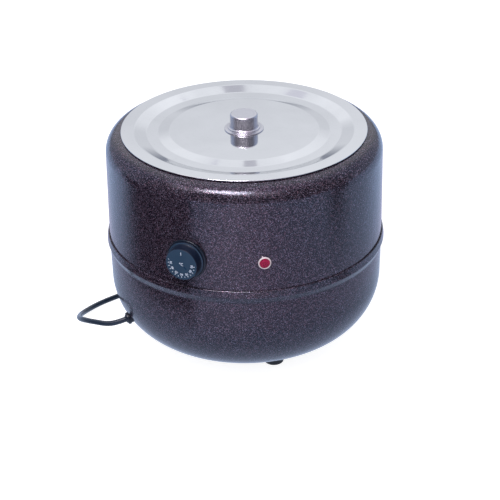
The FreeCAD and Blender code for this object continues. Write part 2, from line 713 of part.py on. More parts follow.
# Feet: rubber, their tops follow the pan
for name, angle in zip(footNames, footAngles):
    rubber = place(turned(f"{name} blank", [
        ("4.6", "0"),
        ("footBase - footRound", "0"),
        ("footBase", "footRound", "footBase - footRound", "footRound", "ccw"),
        ("footTop", "footHeight - 2"),
        ("footTop", "footHeight + 6"),
        (f"{footScrew} + screwPlay", "footHeight + 6"),
        (f"{footScrew} + screwPlay", "footHeight / 2"),
        ("4.6", "footHeight / 2"),
    ]), (*radial(angle, footCircle), "0"))
    keep(cut(rubber, [panOutside]), name)


def foot_screw(angle):
    axis = radial(angle, footCircle)
    return place(turned("foot screw", [
        ("0", "footHeight / 2 - 3"),
        ("3.4", "footHeight / 2 - 3"),
        ("4", "footHeight / 2 - 2.2"),
        ("4", "footHeight / 2"),
        (f"{footScrew}", "footHeight / 2"),
        (f"{footScrew}", "footHeight + 9"),
        ("0", "footHeight + 9"),
    ]), (*axis, "0"))


footFloor = f"({cornerZ} - sqrt((cornerRadius - shellWall) ^ 2 - ({footCircle} + 4 - {cornerX}) ^ 2))"


def hexagon(radius):
    """Six corners; an even side lies along X."""
    return [(f"({radius}) * cos({60 * corner})", f"({radius}) * sin({60 * corner})") for corner in range(6)]


def nut(corner, bore, height, at, label="nut"):
    blank = place(padded("nut blank", hexagon(corner), height), at)
    return cut(blank, [cylinder(bore, f"({height}) + 2", (at[0], at[1], f"{at[2]} - 1"))], label)


grouped([foot_screw(angle) for angle in footAngles], "foot_screws")
grouped([
    nut("4.04", f"{footScrew} + seatGap", "3.2", (*radial(angle, footCircle), f"{footFloor} + seatGap"))
    for angle in footAngles
], "foot_nuts")

# Heater: ring element pressed to the tank by a plate on the middle stud
studEnd = 8.0
studTop = "(wellBottom - seatGap)"
keep(cylinder("studRadius", f"{studTop} - {studEnd}", ("0", "0", f"{studEnd}")), "centre_stud")
legBend = 12.0
legAngle = math.degrees(legBend / size(elementRing)) + 7


def element_wire():
    """A leg up, a bend, most of a ring, a bend and a leg down."""
    ringRadius, height = size(elementRing), size(elementZ)

    def spot(azimuth, z):
        angle = math.radians(size("glandAngle") + azimuth)
        return Vector(ringRadius * math.sin(angle), -ringRadius * math.cos(angle), z)

    def heading(azimuth):
        angle = math.radians(size("glandAngle") + azimuth)
        return Vector(math.cos(angle), math.sin(angle), 0)

    edges = []
    for side in (1, -1):
        entry = spot(side * legAngle, height)
        back = heading(side * legAngle) * -side
        foot = entry + back * legBend - Vector(0, 0, legBend)
        middle = entry + back * (legBend * math.sin(math.pi / 4)) - Vector(0, 0, legBend * (1 - math.cos(math.pi / 4)))
        end = foot - Vector(0, 0, size("legLength"))
        leg = [Part.LineSegment(end, foot).toShape(), Part.Arc(foot, middle, entry).toShape()]
        edges.append(leg)
    loop = Part.Arc(spot(legAngle, height), spot(180, height), spot(-legAngle, height)).toShape()
    return Part.Wire(edges[0] + [loop] + edges[1][::-1])


element = doc.addObject("Part::Feature", "Element")
element.Shape = tube_shape(element_wire(), size("elementTube"), "heating_element")
keep(element, "heating_element")


def leg_hole(side):
    """The clamp plate lets the element's ends through."""
    angle = f"(glandAngle + {side * (legAngle - math.degrees(legBend / size(elementRing)))!r})"
    return cylinder("elementTube + 7", "12", (*radial(angle, elementRing), f"{clampTop} - 6"))


clampRadius = f"({elementRing} + 14)"
clampBlank = turned("clamp blank", [
    (studHole, f"{clampTop} - clampWall"),
    (clampRadius, f"{clampTop} - clampWall"),
    (clampRadius, f"{clampTop} + 3"),
    (f"{clampRadius} - clampWall", f"{clampTop} + 3"),
    (f"{clampRadius} - clampWall", clampTop),
    (studHole, clampTop),
])
keep(cut(clampBlank, [leg_hole(1), leg_hole(-1)]), "element_clamp")
keep(nut("nutRadius", "studRadius + seatGap", "nutHeight", ("0", "0", f"{clampTop} - clampWall - nutHeight")),
     "clamp_nut")
keep(turned("heat_shield", [
    (studHole, shieldHeight),
    (f"{shieldRadius} - 4", shieldHeight),
    (shieldRadius, f"{shieldHeight} + 4", f"{shieldRadius} - 4", f"{shieldHeight} + 4", "ccw"),
    (shieldRadius, f"{shieldHeight} + 10"),
    (f"{shieldRadius} - shieldWall", f"{shieldHeight} + 10"),
    (f"{shieldRadius} - shieldWall", f"{shieldHeight} + 4"),
    (f"{shieldRadius} - 4", f"{shieldHeight} + shieldWall", f"{shieldRadius} - 4", f"{shieldHeight} + 4", "cw"),
    (studHole, f"{shieldHeight} + shieldWall"),
]), "heat_shield")
grouped([
    nut("nutRadius", "studRadius + seatGap", "nutHeight", ("0", "0", height))
    for height in (f"{shieldHeight} - nutHeight", f"{shieldHeight} + shieldWall")
], "shield_nuts")
baseWasher = 1.4
keep(turned("base_washer", [
    (studHole, f"footHeight - {baseWasher}"),
    ("studRadius * 3", f"footHeight - {baseWasher}"),
    ("studRadius * 3", "footHeight"),
    (studHole, "footHeight"),
]), "base_washer")
keep(nut("nutRadius", "studRadius + seatGap", "nutHeight", ("0", "0", f"footHeight - {baseWasher} - nutHeight")),
     "base_nut")

# Insulation: wool round the tank, open where the regulator and the lamp stand
sleeveIn = f"({wellOuter} + sleeveGap)"
sleeve = turned("insulation_sleeve", [
    (sleeveIn, "sleeveBottom"),
    (f"{sleeveIn} + sleeveWall", "sleeveBottom"),
    (f"{sleeveIn} + sleeveWall", "sleeveTop"),
    (sleeveIn, "sleeveTop"),
], sleeveSpan)
sleeve.setExpression("Placement.Rotation.Angle", bound("(lampAngle + cutoutStep + woolClear) - 90"))
keep(sleeve, "insulation_sleeve")

# Sensor of the regulator and the safety cut-out, both on the tank's wall
bulbAngle = "(8 - woolOpening)"
bulbRadius = 3.0
bulbOut = f"({wellOuter} + {bulbRadius} + seatGap)"
bulbBottom = "(wellBottom + wellCorner)"
bulbAt = (*radial(bulbAngle, bulbOut), bulbBottom)
bulb = cylinder(f"{bulbRadius}", "70", bulbAt)
caseBottom = f"({controlsHeight} - regulatorHeight / 2)"


def capillary_points():
    """From the regulator down past the tank's corner and up into the bulb."""
    start = Vector(-10, -(size(wallAtControls) - 14), size(caseBottom) - 0.1)
    end = Vector(size(bulbAt[0]), size(bulbAt[1]), size(bulbAt[2]))
    out = Vector(end.x, end.y, 0).normalize() * 8
    return [
        start,
        start + Vector(0, 0, -size("tubeDrop")),
        start * 0.6 + (end + out) * 0.4 + Vector(0, 0, 8 - size("tubeDrop")),
        start * 0.2 + (end + out) * 0.8 + Vector(0, 0, 4 - size("tubeDrop")),
        end + Vector(0, 0, -16),
        end,
    ]


capillary = tube(capillary_points(), 0.9, "capillary")
keep(joined([bulb, capillary]), "capillary_bulb")
clipRing = place(turned("clip blank", [
    (f"{bulbRadius} + seatGap", "30"),
    (f"{bulbRadius} + 1", "30"),
    (f"{bulbRadius} + 1", "42"),
    (f"{bulbRadius} + seatGap", "42"),
]), bulbAt)
wellSpace = cylinder(f"{wellOuter} + seatGap", "sleeveTop - sleeveBottom", ("0", "0", "sleeveBottom"))
keep(cut(clipRing, [wellSpace]), "bulb_clip")
cutoutAngle = "(lampAngle + cutoutStep)"
cutoutTurn = facing(size(cutoutAngle))
cutoutAt = (*radial(cutoutAngle, wellOuter), "wellBottom + 34")
cutoutBody = joined([
    cylinder("8", "8.5", along(cutoutAt, cutoutTurn.multVec(Vector(0, 0, 1)), "-1"), cutoutTurn),
    box("26", "7", "3", along(cutoutAt, cutoutTurn.multVec(Vector(0, 0, 1)), "-1"), cutoutTurn),
], "cutout blank")
keep(cut(cutoutBody, [wellSpace]), "overheat_cutout")

# Mains connection on the pan's floor
blockAngle = "glandAngle"
blockOut = f"({cornerX} - blockInset)"
blockTurn = Rotation(Vector(0, 0, 1), size(blockAngle))
blockAt = (*radial(blockAngle, blockOut), f"{panFloor} + seatGap")
blockX = blockTurn.multVec(Vector(1, 0, 0))
blockY = blockTurn.multVec(Vector(0, 1, 0))
poles = (-1, 0, 1)
wireWay = [
    cylinder("2.2", "30", along(along(along(blockAt, blockX, f"{pole} * poleSpacing"), blockY, "15"), Vector(0, 0, 1), "6"),
             blockTurn * Rotation(Vector(1, 0, 0), 90))
    for pole in poles
]
screwWay = [cylinder("2", "12", along(along(blockAt, blockX, f"{pole} * poleSpacing"), Vector(0, 0, 1), "9")) for pole in poles]
keep(cut(box("blockLength", "blockDepth", "blockHeight", blockAt, blockTurn), wireWay + screwWay), "terminal_block")
grouped([
    cylinder("1.95", "6", along(along(blockAt, blockX, f"{pole} * poleSpacing"), Vector(0, 0, 1), "9")) for pole in poles
], "terminal_screws")
earthAt = (*radial(f"{blockAngle} + 48", blockOut), panFloor)
keep(cylinder("2", "16", (earthAt[0], earthAt[1], f"{panFloor} + seatGap")), "earth_stud")
keep(nut("4.04", "2 + seatGap", "3.2", (earthAt[0], earthAt[1], f"{panFloor} + 6")), "earth_nut")

# Where the lead passes the gland, and the wires behind it
glandOutwards = glandAxis.multVec(Vector(0, 0, 1))
leadIn = 24.0
keep(cylinder("cordRadius", f"glandNose + {leadIn - 6}", along(glandAt, glandOutwards, f"{6 - leadIn}"), glandAxis),
     "cord_lead_in")


def spot(expressions):
    return Vector(*(size(expression) for expression in expressions))


def wire_points():
    """Each wire's route, from the values of the two pieces that it joins."""
    lead = spot(along(glandAt, glandOutwards, f"{6 - leadIn}"))
    block = spot(blockAt)
    side, depth, spacing = blockX, blockY, size("poleSpacing")
    glandSide = glandAxis.multVec(Vector(1, 0, 0))
    entry = [block + side * pole * spacing - depth * 8 + Vector(0, 0, 6) for pole in poles]
    leave = [block + side * pole * spacing + depth * 8 + Vector(0, 0, 6) for pole in poles]
    regulator = Vector(-14, -(size(wallAtControls) - 20), size(caseBottom))
    lamp = spot(along(lampAt, lampOut, "-23")) - Vector(0, 0, 2.6)
    earth = spot(earthAt) + Vector(0, 0, 12)
    down = Vector(0, 0, -1)
    inner = 0.86
    routes = []
    for pole, target in zip((-1.8, 0, 1.8), entry):
        start = lead + glandSide * pole - glandOutwards * size("seatGap")
        routes.append([start, start - glandOutwards * 8, (start + target) * 0.5 + Vector(0, 0, 4),
                       target - depth * 12, target])
    for shift, target in ((-3, leave[0]), (4, leave[1])):
        start = regulator + Vector(shift, 0, 0)
        knee = Vector(start.x * 1.4, start.y * inner, size(shieldHeight) - 14)
        routes.append([start, start + down * 40, Vector(knee.x, start.y, knee.z + size("wireDrop")), knee,
                       target + depth * 34 + Vector(0, 0, 14), target + depth * 14, target])
    last = leave[2]
    routes.append([lamp, lamp + down * 40 + side * 2, Vector(lamp.x, lamp.y, size(shieldHeight) + 16),
                   Vector(lamp.x * inner, lamp.y * inner, size(shieldHeight) - 20),
                   last + side * 40 + Vector(0, 0, 12), last + depth * 20 + side * 8 + Vector(0, 0, 4),
                   last])
    return routes


wires = []
for number, route in enumerate(wire_points()):
    wires.append(tube(route, 1.1, f"wire {number}"))
grouped(wires, "internal_wires")

# Lead: out of the gland, down to the table, behind the kettle, and the rest of it as a coil
exitPoint = spot(along(glandAt, glandOutwards, "glandNose"))
cordRoute = [exitPoint, exitPoint + glandOutwards * 14] + [Vector(*point) for point in (
    (-141.6, -132.4, 45.2),
    (-155.4, -131.9, 44.2),
    (-168.5, -129.0, 41.6),
    (-182.0, -121.5, 36.5),
    (-194.7, -108.9, 28.5),
    (-204.8, -92.0, 20.0),
    (-211.8, -72.2, 12.0),
    (-213.9, -50.2, 6.0),
    (-209.6, -27.6, 3.7),
    (-199.1, -6.6, 3.6),
    (-185.5, 16.9, 3.6),
    (-171.4, 47.1, 3.6),
    (-160.7, 82.4, 3.6),
    (-155.3, 125.1, 3.6),
    (-152.5, 167.1, 3.6),
    (-156.0, 200.0, 3.6),
)]
keep(tube(cordRoute, size("cordRadius"), "mains_cord"), "mains_cord")
coilAt = ("-118.8", "220.9", "1")
keep(place(turned("cord_coil", [
    ("coilMiddle - 2 * cordRadius", "2"),
    ("coilMiddle - 2 * cordRadius + 2", "0"),
    ("coilMiddle + 2 * cordRadius - 2", "0"),
    ("coilMiddle + 2 * cordRadius", "2"),
    ("coilMiddle + 2 * cordRadius", "coilHeight - 2"),
    ("coilMiddle + 2 * cordRadius - 2", "coilHeight"),
    ("coilMiddle - 2 * cordRadius + 2", "coilHeight"),
    ("coilMiddle - 2 * cordRadius", "coilHeight - 2"),
]), coilAt), "cord_coil")
tieAngle = math.radians(200)
tieTurn = Rotation(Vector(0, 0, 1), math.degrees(tieAngle))
tieAt = along(coilAt, Vector(math.cos(tieAngle), math.sin(tieAngle), 0), "coilMiddle")
tieBand = 0.7
tieBox = box(f"4 * cordRadius + {2 * tieBand + 0.8}", "8", f"coilHeight + {2 * tieBand + 0.4}",
             (tieAt[0], tieAt[1], "0.1"), tieTurn)
tieHole = box("4 * cordRadius + 0.8", "10", "coilHeight + 0.4", (tieAt[0], tieAt[1], f"0.1 + {tieBand}"), tieTurn)
keep(cut(tieBox, [tieHole]), "cord_tie")
plugHeading = 23.7
plugTurn = facing(90 + plugHeading)
plugAt = ("-122.3", "264.7", "plugRadius + 0.1")
keep(place(turned("plug_body", [
    ("0", "0"),
    ("cordRadius + 0.8", "0"),
    ("cordRadius + 3", "22"),
    ("11", "25"),
    ("plugRadius - 5.4", "28"),
    ("plugRadius - 5.4", "40"),
    ("plugRadius", "46"),
    ("plugRadius", "57"),
    ("plugRadius - 1", "58"),
    ("0", "58"),
]), plugAt, plugTurn), "plug_body")
plugOut = plugTurn.multVec(Vector(0, 0, 1))
plugSide = plugTurn.multVec(Vector(1, 0, 0))
grouped([
    cylinder("2.4", "19", along(along(plugAt, plugOut, "58"), plugSide, f"{side}"), plugTurn)
    for side in (-9.5, 9.5)
], "plug_pins")

doc.recompute()
for thing in doc.Objects:
    state = set(thing.State) & {"Invalid", "Error"}
    if state:
        raise RuntimeError(f"{thing.Label} failed: {state}")
for piece in pieces:
    if piece.Shape.isNull() or not piece.Shape.isValid() or not piece.Shape.Solids:
        raise RuntimeError(f"{piece.Label} has no valid solid")

os.makedirs("parts", exist_ok=True)
for piece in pieces:
    piece.Shape.exportStep(f"parts/{piece.Label}.step")
    print(piece.Label, len(piece.Shape.Solids), round(piece.Shape.Volume, 1))
print(len(pieces), "pieces")
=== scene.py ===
from math import acos, ceil, cos, pi, radians, sin, tan

import bmesh
import bpy
import numpy as np
from mathutils import Matrix, Vector


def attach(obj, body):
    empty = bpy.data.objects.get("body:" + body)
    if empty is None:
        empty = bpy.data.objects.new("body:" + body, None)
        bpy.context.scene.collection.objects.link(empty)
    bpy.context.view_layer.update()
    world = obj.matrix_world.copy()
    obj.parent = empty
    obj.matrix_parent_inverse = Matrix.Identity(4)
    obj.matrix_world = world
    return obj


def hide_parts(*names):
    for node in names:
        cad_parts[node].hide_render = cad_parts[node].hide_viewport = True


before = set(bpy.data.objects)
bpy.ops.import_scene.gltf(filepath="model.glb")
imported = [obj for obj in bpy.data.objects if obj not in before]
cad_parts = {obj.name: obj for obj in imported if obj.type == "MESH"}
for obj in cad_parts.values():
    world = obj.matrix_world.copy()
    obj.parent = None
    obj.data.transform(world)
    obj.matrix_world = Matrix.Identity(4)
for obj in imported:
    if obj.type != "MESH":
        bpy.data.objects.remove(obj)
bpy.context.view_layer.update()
scene = bpy.context.scene
mm = 0.001  # shapes are written in millimetres, Blender's own unit is the metre
print("frame loaded,", len(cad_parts), "nodes")

# The photograph is taken from the right of the dial: its directions are the frame's, turned by the azimuth
view = {
    "azimuth": radians(23.7),
    "distance": 1.7881,  # metres from the kettle's axis, level
    "height": 1.088,
    "pitch": 0.498,  # radians, down
    "yaw": -0.003,
    "roll": -0.014,
    "lens": 111.715,
    "sensor": 36.0,
    "clip": (0.05, 60),
}


def fromPhoto(x, y, z):
    # a point given in the photo's own directions: x to the right, y away, z up
    c, s = cos(view["azimuth"]), sin(view["azimuth"])
    return Vector((x * c - y * s, x * s + y * c, z))


def makeCamera():
    # right, up and backward axes from pitch, yaw and roll, as columns of the camera's matrix
    cp, sp = cos(view["pitch"]), sin(view["pitch"])
    cy, sy = cos(view["yaw"]), sin(view["yaw"])
    cr, sr = cos(view["roll"]), sin(view["roll"])
    right = fromPhoto(cy, sy, 0)
    level = fromPhoto(-sy, cy, 0)
    forward = level * cp - Vector((0, 0, sp))
    upward = level * sp + Vector((0, 0, cp))
    axisX = right * cr + upward * sr
    axisY = upward * cr - right * sr
    data = bpy.data.cameras.new("camera")
    data.lens = view["lens"]
    data.sensor_width = view["sensor"]
    data.clip_start, data.clip_end = view["clip"]
    camera = bpy.data.objects.new("camera", data)
    scene.collection.objects.link(camera)
    turn = Matrix((axisX, axisY, -forward)).transposed().to_4x4()
    camera.matrix_world = Matrix.Translation(fromPhoto(0, -view["distance"], view["height"])) @ turn
    scene.camera = camera


makeCamera()
print("camera made")


# Node helpers

def fillSockets(tree, node, values):
    # values: socket name or number to a plain value, or to a socket that is linked in
    for name, value in values.items():
        if isinstance(value, bpy.types.NodeSocket):
            tree.links.new(value, node.inputs[name])
        else:
            node.inputs[name].default_value = value
    return node


def addNode(tree, kind, inputs=None, **settings):
    node = tree.nodes.new(kind)
    for name, value in settings.items():
        setattr(node, name, value)
    return fillSockets(tree, node, inputs or {})


def calc(tree, operation, first, second=0.0, clamp=False):
    node = addNode(tree, "ShaderNodeMath", {0: first, 1: second}, operation=operation, use_clamp=clamp)
    return node.outputs[0]


def times(tree, first, second):
    return calc(tree, "MULTIPLY", first, second)


def lengthAlong(tree, place, direction):
    dot = addNode(tree, "ShaderNodeVectorMath", {0: place, 1: direction}, operation="DOT_PRODUCT")
    return dot.outputs["Value"]


def wholeLength(tree, place):
    return addNode(tree, "ShaderNodeVectorMath", {0: place}, operation="LENGTH").outputs["Value"]


def remap(tree, value, low, high, toLow=0.0, toHigh=1.0):
    return addNode(tree, "ShaderNodeMapRange", {
        "Value": value, "From Min": low, "From Max": high, "To Min": toLow, "To Max": toHigh,
    }).outputs["Result"]


def noise(tree, place, scale, **more):
    return addNode(tree, "ShaderNodeTexNoise", {"Vector": place, "Scale": scale, **more}).outputs["Fac"]


def mixColours(tree, factor, first, second):
    node = addNode(tree, "ShaderNodeMix", {"Factor": factor, 6: first, 7: second}, data_type="RGBA")
    return node.outputs[2]


def layColour(tree, under, value, colour, low, high):
    # one colour over another, from nothing where the value is low to all of it where it is high
    return mixColours(tree, remap(tree, value, low, high), under, colour)


def newGroup(name, numbers, results):
    # a group that takes a vector and numbers with these names, and gives other numbers
    group = bpy.data.node_groups.new(name, "ShaderNodeTree")
    group.interface.new_socket("Vector", in_out="INPUT", socket_type="NodeSocketVector")
    for label in numbers:
        group.interface.new_socket(label, in_out="INPUT", socket_type="NodeSocketFloat")
    for label in results:
        group.interface.new_socket(label, in_out="OUTPUT", socket_type="NodeSocketFloat")
    return group, group.nodes.new("NodeGroupInput").outputs, group.nodes.new("NodeGroupOutput")


def useGroup(tree, group, place, **values):
    return addNode(tree, "ShaderNodeGroup", {"Vector": place, **values}, node_tree=group).outputs


# Shader groups: each gives masks and heights, the shader itself stays in its material

def makeFlakeGroup():
    # Hammered lacquer: each cell is a flake with its own brightness and tint, over a fine and a soft relief
    s = {"fade": (0.2, 0.75, 1.0, 0.15), "fine": 0.5, "fineShare": 0.35, "soft": 0.13}
    group, given, result = newGroup("lacquerFlakes", ["Scale", "Rarity"], ["Bright", "Red", "Relief"])
    place, scale = given["Vector"], given["Scale"]
    cells = addNode(group, "ShaderNodeTexVoronoi", {"Vector": place, "Scale": scale}).outputs
    chance = addNode(group, "ShaderNodeSeparateColor", {"Color": cells["Color"]}).outputs
    share = calc(group, "POWER", chance["Red"], given["Rarity"])
    centre = remap(group, cells["Distance"], *s["fade"])
    fine = noise(group, place, times(group, scale, s["fine"]), Detail=3.0, Roughness=0.6)
    soft = noise(group, place, times(group, scale, s["soft"]), Detail=2.0)
    fillSockets(group, result, {
        "Bright": times(group, share, centre),
        "Red": chance["Green"],
        "Relief": calc(group, "ADD", times(group, fine, s["fineShare"]), soft),
    })
    return group


def makeHandlingGroup():
    # marks of use, 0 to 1: soft smears and short fine scratches
    s = {"slant": (0.4, 0.3, 0.6), "thin": (1.0, 24.0, 24.0), "finer": 3.0,
         "scratch": (0.62, 0.72), "smear": (0.38, 0.66), "smearShare": 0.6}
    group, given, result = newGroup("handlingMarks", ["Scale", "Scratches"], ["Marks"])
    place, scale = given["Vector"], given["Scale"]
    smears = noise(group, place, scale, Detail=4.0, Distortion=0.6)
    slanted = {"Vector": place, "Rotation": s["slant"], "Scale": s["thin"]}
    thin = addNode(group, "ShaderNodeMapping", slanted).outputs[0]
    lines = noise(group, thin, times(group, scale, s["finer"]), Detail=2.0)
    scratches = times(group, remap(group, lines, *s["scratch"]), given["Scratches"])
    soft = times(group, remap(group, smears, *s["smear"]), s["smearShare"])
    fillSockets(group, result, {"Marks": calc(group, "ADD", soft, scratches, clamp=True)})
    return group


def makeTurnedGroup():
    # Lathe or spinning marks: noise over the distance from an axis, the same all the way round
    squeeze = 1.3  # along the axis
    group, given, result = newGroup("turnedMarks", ["Rings"], ["Lines"])
    parts = addNode(group, "ShaderNodeSeparateXYZ", {"Vector": given["Vector"]}).outputs
    flat = addNode(group, "ShaderNodeCombineXYZ", {"X": parts["X"], "Y": parts["Y"]}).outputs[0]
    along = addNode(group, "ShaderNodeCombineXYZ", {
        "X": wholeLength(group, flat), "Y": times(group, parts["Z"], squeeze)}).outputs[0]
    fillSockets(group, result, {"Lines": noise(group, along, given["Rings"], Detail=2.0)})
    return group


def makeGrainGroup():
    # Moulded grain: small soft bumps with a slow change of tone
    slow = 0.06
    group, given, result = newGroup("mouldedGrain", ["Scale"], ["Bumps", "Tone"])
    place, scale = given["Vector"], given["Scale"]
    fillSockets(group, result, {
        "Bumps": noise(group, place, scale, Detail=3.0, Roughness=0.55),
        "Tone": noise(group, place, times(group, scale, slow), Detail=3.0),
    })
    return group


flakeGroup = makeFlakeGroup()
handlingGroup = makeHandlingGroup()
turnedGroup = makeTurnedGroup()
grainGroup = makeGrainGroup()
finishes = {}  # each material by its name


def startMaterial(name):
    material = finishes[name] = bpy.data.materials.new(name)
    material.use_nodes = True
    material.node_tree.nodes.clear()
    return material.node_tree


def startShader(name):
    # a material with a shader in it, and the object's own coordinates
    tree = startMaterial(name)
    shader = addNode(tree, "ShaderNodeBsdfPrincipled")
    addNode(tree, "ShaderNodeOutputMaterial", {"Surface": shader.outputs["BSDF"]})
    return tree, shader, addNode(tree, "ShaderNodeTexCoord").outputs["Object"]


def bumpFrom(tree, height, strength, distance=0.0002):
    bump = addNode(tree, "ShaderNodeBump", {"Height": height, "Strength": strength, "Distance": distance})
    return bump.outputs[0]


def shaded(colour, factor, lift=0.0):
    return tuple(min(part * factor + lift, 1) for part in colour[:3]) + (1,)


def makeLacquer():
    # dark gloss with a fine hammered relief, and metal flakes that scatter light more widely
    look = {
        "base": (0.0045, 0.0026, 0.0060, 1),
        "redFlake": (0.56, 0.29, 0.38, 1),
        "paleFlake": (0.56, 0.58, 0.80, 1),
        "scale": 1650.0,
        "rarity": 7.4,
        "gloss": 0.1,
        "handled": 0.17,
        "flakeGloss": 0.27,
        "relief": 0.00022,
        "mirror": 0.55,
        "mirrorTint": (0.8, 0.86, 1.0, 1),
    }
    tree, shader, place = startShader("hammeredLacquer")
    flakes = useGroup(tree, flakeGroup, place, Scale=look["scale"], Rarity=look["rarity"])
    marks = useGroup(tree, handlingGroup, place, Scale=9.0, Scratches=0.15)["Marks"]
    tint = mixColours(tree, flakes["Red"], look["redFlake"], look["paleFlake"])
    gloss = remap(tree, marks, 0.0, 1.0, look["gloss"], look["handled"])
    spread = times(tree, flakes["Bright"], look["flakeGloss"] - look["gloss"])
    fillSockets(tree, shader, {
        "Base Color": mixColours(tree, flakes["Bright"], look["base"], tint),
        "Metallic": flakes["Bright"],
        "Roughness": calc(tree, "ADD", gloss, spread),
        "Normal": bumpFrom(tree, flakes["Relief"], 1.0, look["relief"]),
        "Specular IOR Level": look["mirror"],
        "Specular Tint": look["mirrorTint"],
    })


def makeMirrorSteel():
    look = {"colour": (0.74, 0.75, 0.77, 1), "worn": (0.66, 0.67, 0.69, 1), "roughness": (0.045, 0.12),
            "rings": 700.0, "relief": 0.06}
    tree, shader, place = startShader("mirrorSteel")
    marks = useGroup(tree, handlingGroup, place, Scale=11.0, Scratches=0.25)["Marks"]
    turned = useGroup(tree, turnedGroup, place, Rings=look["rings"])["Lines"]
    fillSockets(tree, shader, {
        "Base Color": mixColours(tree, marks, look["colour"], look["worn"]),
        "Metallic": 1.0,
        "Roughness": remap(tree, marks, 0.0, 1.0, *look["roughness"]),
        "Normal": bumpFrom(tree, turned, look["relief"]),
    })


def makeTurnedSteel(name, colour, roughness, rings, relief):
    # metal with lathe marks, darker in their grooves and duller where handled
    tree, shader, place = startShader(name)
    marks = useGroup(tree, handlingGroup, place, Scale=30.0, Scratches=0.5)["Marks"]
    turned = useGroup(tree, turnedGroup, place, Rings=rings)["Lines"]
    grooves = remap(tree, turned, 0.3, 0.7, 0.0, 0.6)
    fillSockets(tree, shader, {
        "Base Color": mixColours(tree, grooves, colour, shaded(colour, 0.72)),
        "Metallic": 1.0,
        "Roughness": remap(tree, marks, 0.0, 1.0, *roughness),
        "Normal": bumpFrom(tree, turned, relief),
    })


def makePlastic(name, colour, roughness, scale, relief):
    # moulded plastic or rubber: fine grain, tone that drifts, duller where handled
    tree, shader, place = startShader(name)
    grain = useGroup(tree, grainGroup, place, Scale=scale)
    marks = useGroup(tree, handlingGroup, place, Scale=28.0, Scratches=0.3)["Marks"]
    toned = mixColours(tree, remap(tree, grain["Tone"], 0.35, 0.65), shaded(colour, 0.8), colour)
    worn = times(tree, marks, 0.5)
    fillSockets(tree, shader, {
        "Base Color": mixColours(tree, worn, toned, shaded(colour, 1.5, 0.006)),
        "Roughness": remap(tree, marks, 0.0, 1.0, *roughness),
        "Normal": bumpFrom(tree, grain["Bumps"], relief),
    })


def makeDialPlastic():
    # the faces that look along the dial's axis are bluer and paler than its sides: partly the dial's own blue
    # face on a dark body, partly painted shade on the sides
    look = {"face": (0.018, 0.043, 0.079, 1), "side": (0.0015, 0.005, 0.017, 1), "facing": (0.86, 0.97),
            "worn": (0.10, 0.13, 0.17, 1), "wear": 0.12, "roughness": (0.26, 0.38), "relief": 0.12,
            "mirror": 0.28}
    tree, shader, place = startShader("dialPlastic")
    grain = useGroup(tree, grainGroup, place, Scale=1600.0)
    marks = useGroup(tree, handlingGroup, place, Scale=30.0, Scratches=0.3)["Marks"]
    outward = addNode(tree, "ShaderNodeTexCoord").outputs["Normal"]
    # painted shade: each surface's colour follows which way it looks, so the sides that turn away from the
    # axis get the dark side colour
    facing = lengthAlong(tree, outward, (0, -1, 0))
    toned = layColour(tree, look["side"], facing, look["face"], *look["facing"])
    worn = times(tree, marks, look["wear"])
    fillSockets(tree, shader, {
        "Base Color": mixColours(tree, worn, toned, look["worn"]),
        "Roughness": remap(tree, grain["Tone"], 0.3, 0.7, *look["roughness"]),
        "Normal": bumpFrom(tree, grain["Bumps"], look["relief"]),
        "Specular IOR Level": look["mirror"],
    })


def makeLens():
    look = {"bright": (0.5, 0.012, 0.075, 1), "deep": (0.13, 0.002, 0.022, 1), "facets": 1150.0,
            "roughness": (0.12, 0.25), "relief": 0.25, "depth": 0.0004, "mirror": 0.25}
    tree, shader, place = startShader("redLens")
    cells = addNode(tree, "ShaderNodeTexVoronoi", {"Vector": place, "Scale": look["facets"]})
    distance = cells.outputs["Distance"]
    fine = useGroup(tree, grainGroup, place, Scale=900.0)
    fillSockets(tree, shader, {
        "Base Color": layColour(tree, look["bright"], distance, look["deep"], 0.1, 0.7),
        "Roughness": remap(tree, fine["Tone"], 0.3, 0.7, *look["roughness"]),
        "Normal": bumpFrom(tree, distance, look["relief"], look["depth"]),
        "Specular IOR Level": look["mirror"],
    })


def makeWool():
    look = {"shade": (0.42, 0.38, 0.27, 1), "fibre": (0.72, 0.68, 0.55, 1), "scale": 320.0}
    tree, shader, place = startShader("mineralWool")
    fibres = noise(tree, place, look["scale"], Detail=6.0, Distortion=2.5)
    fillSockets(tree, shader, {
        "Base Color": mixColours(tree, fibres, look["shade"], look["fibre"]),
        "Roughness": 0.95,
        "Normal": bumpFrom(tree, fibres, 0.8, 0.001),
    })


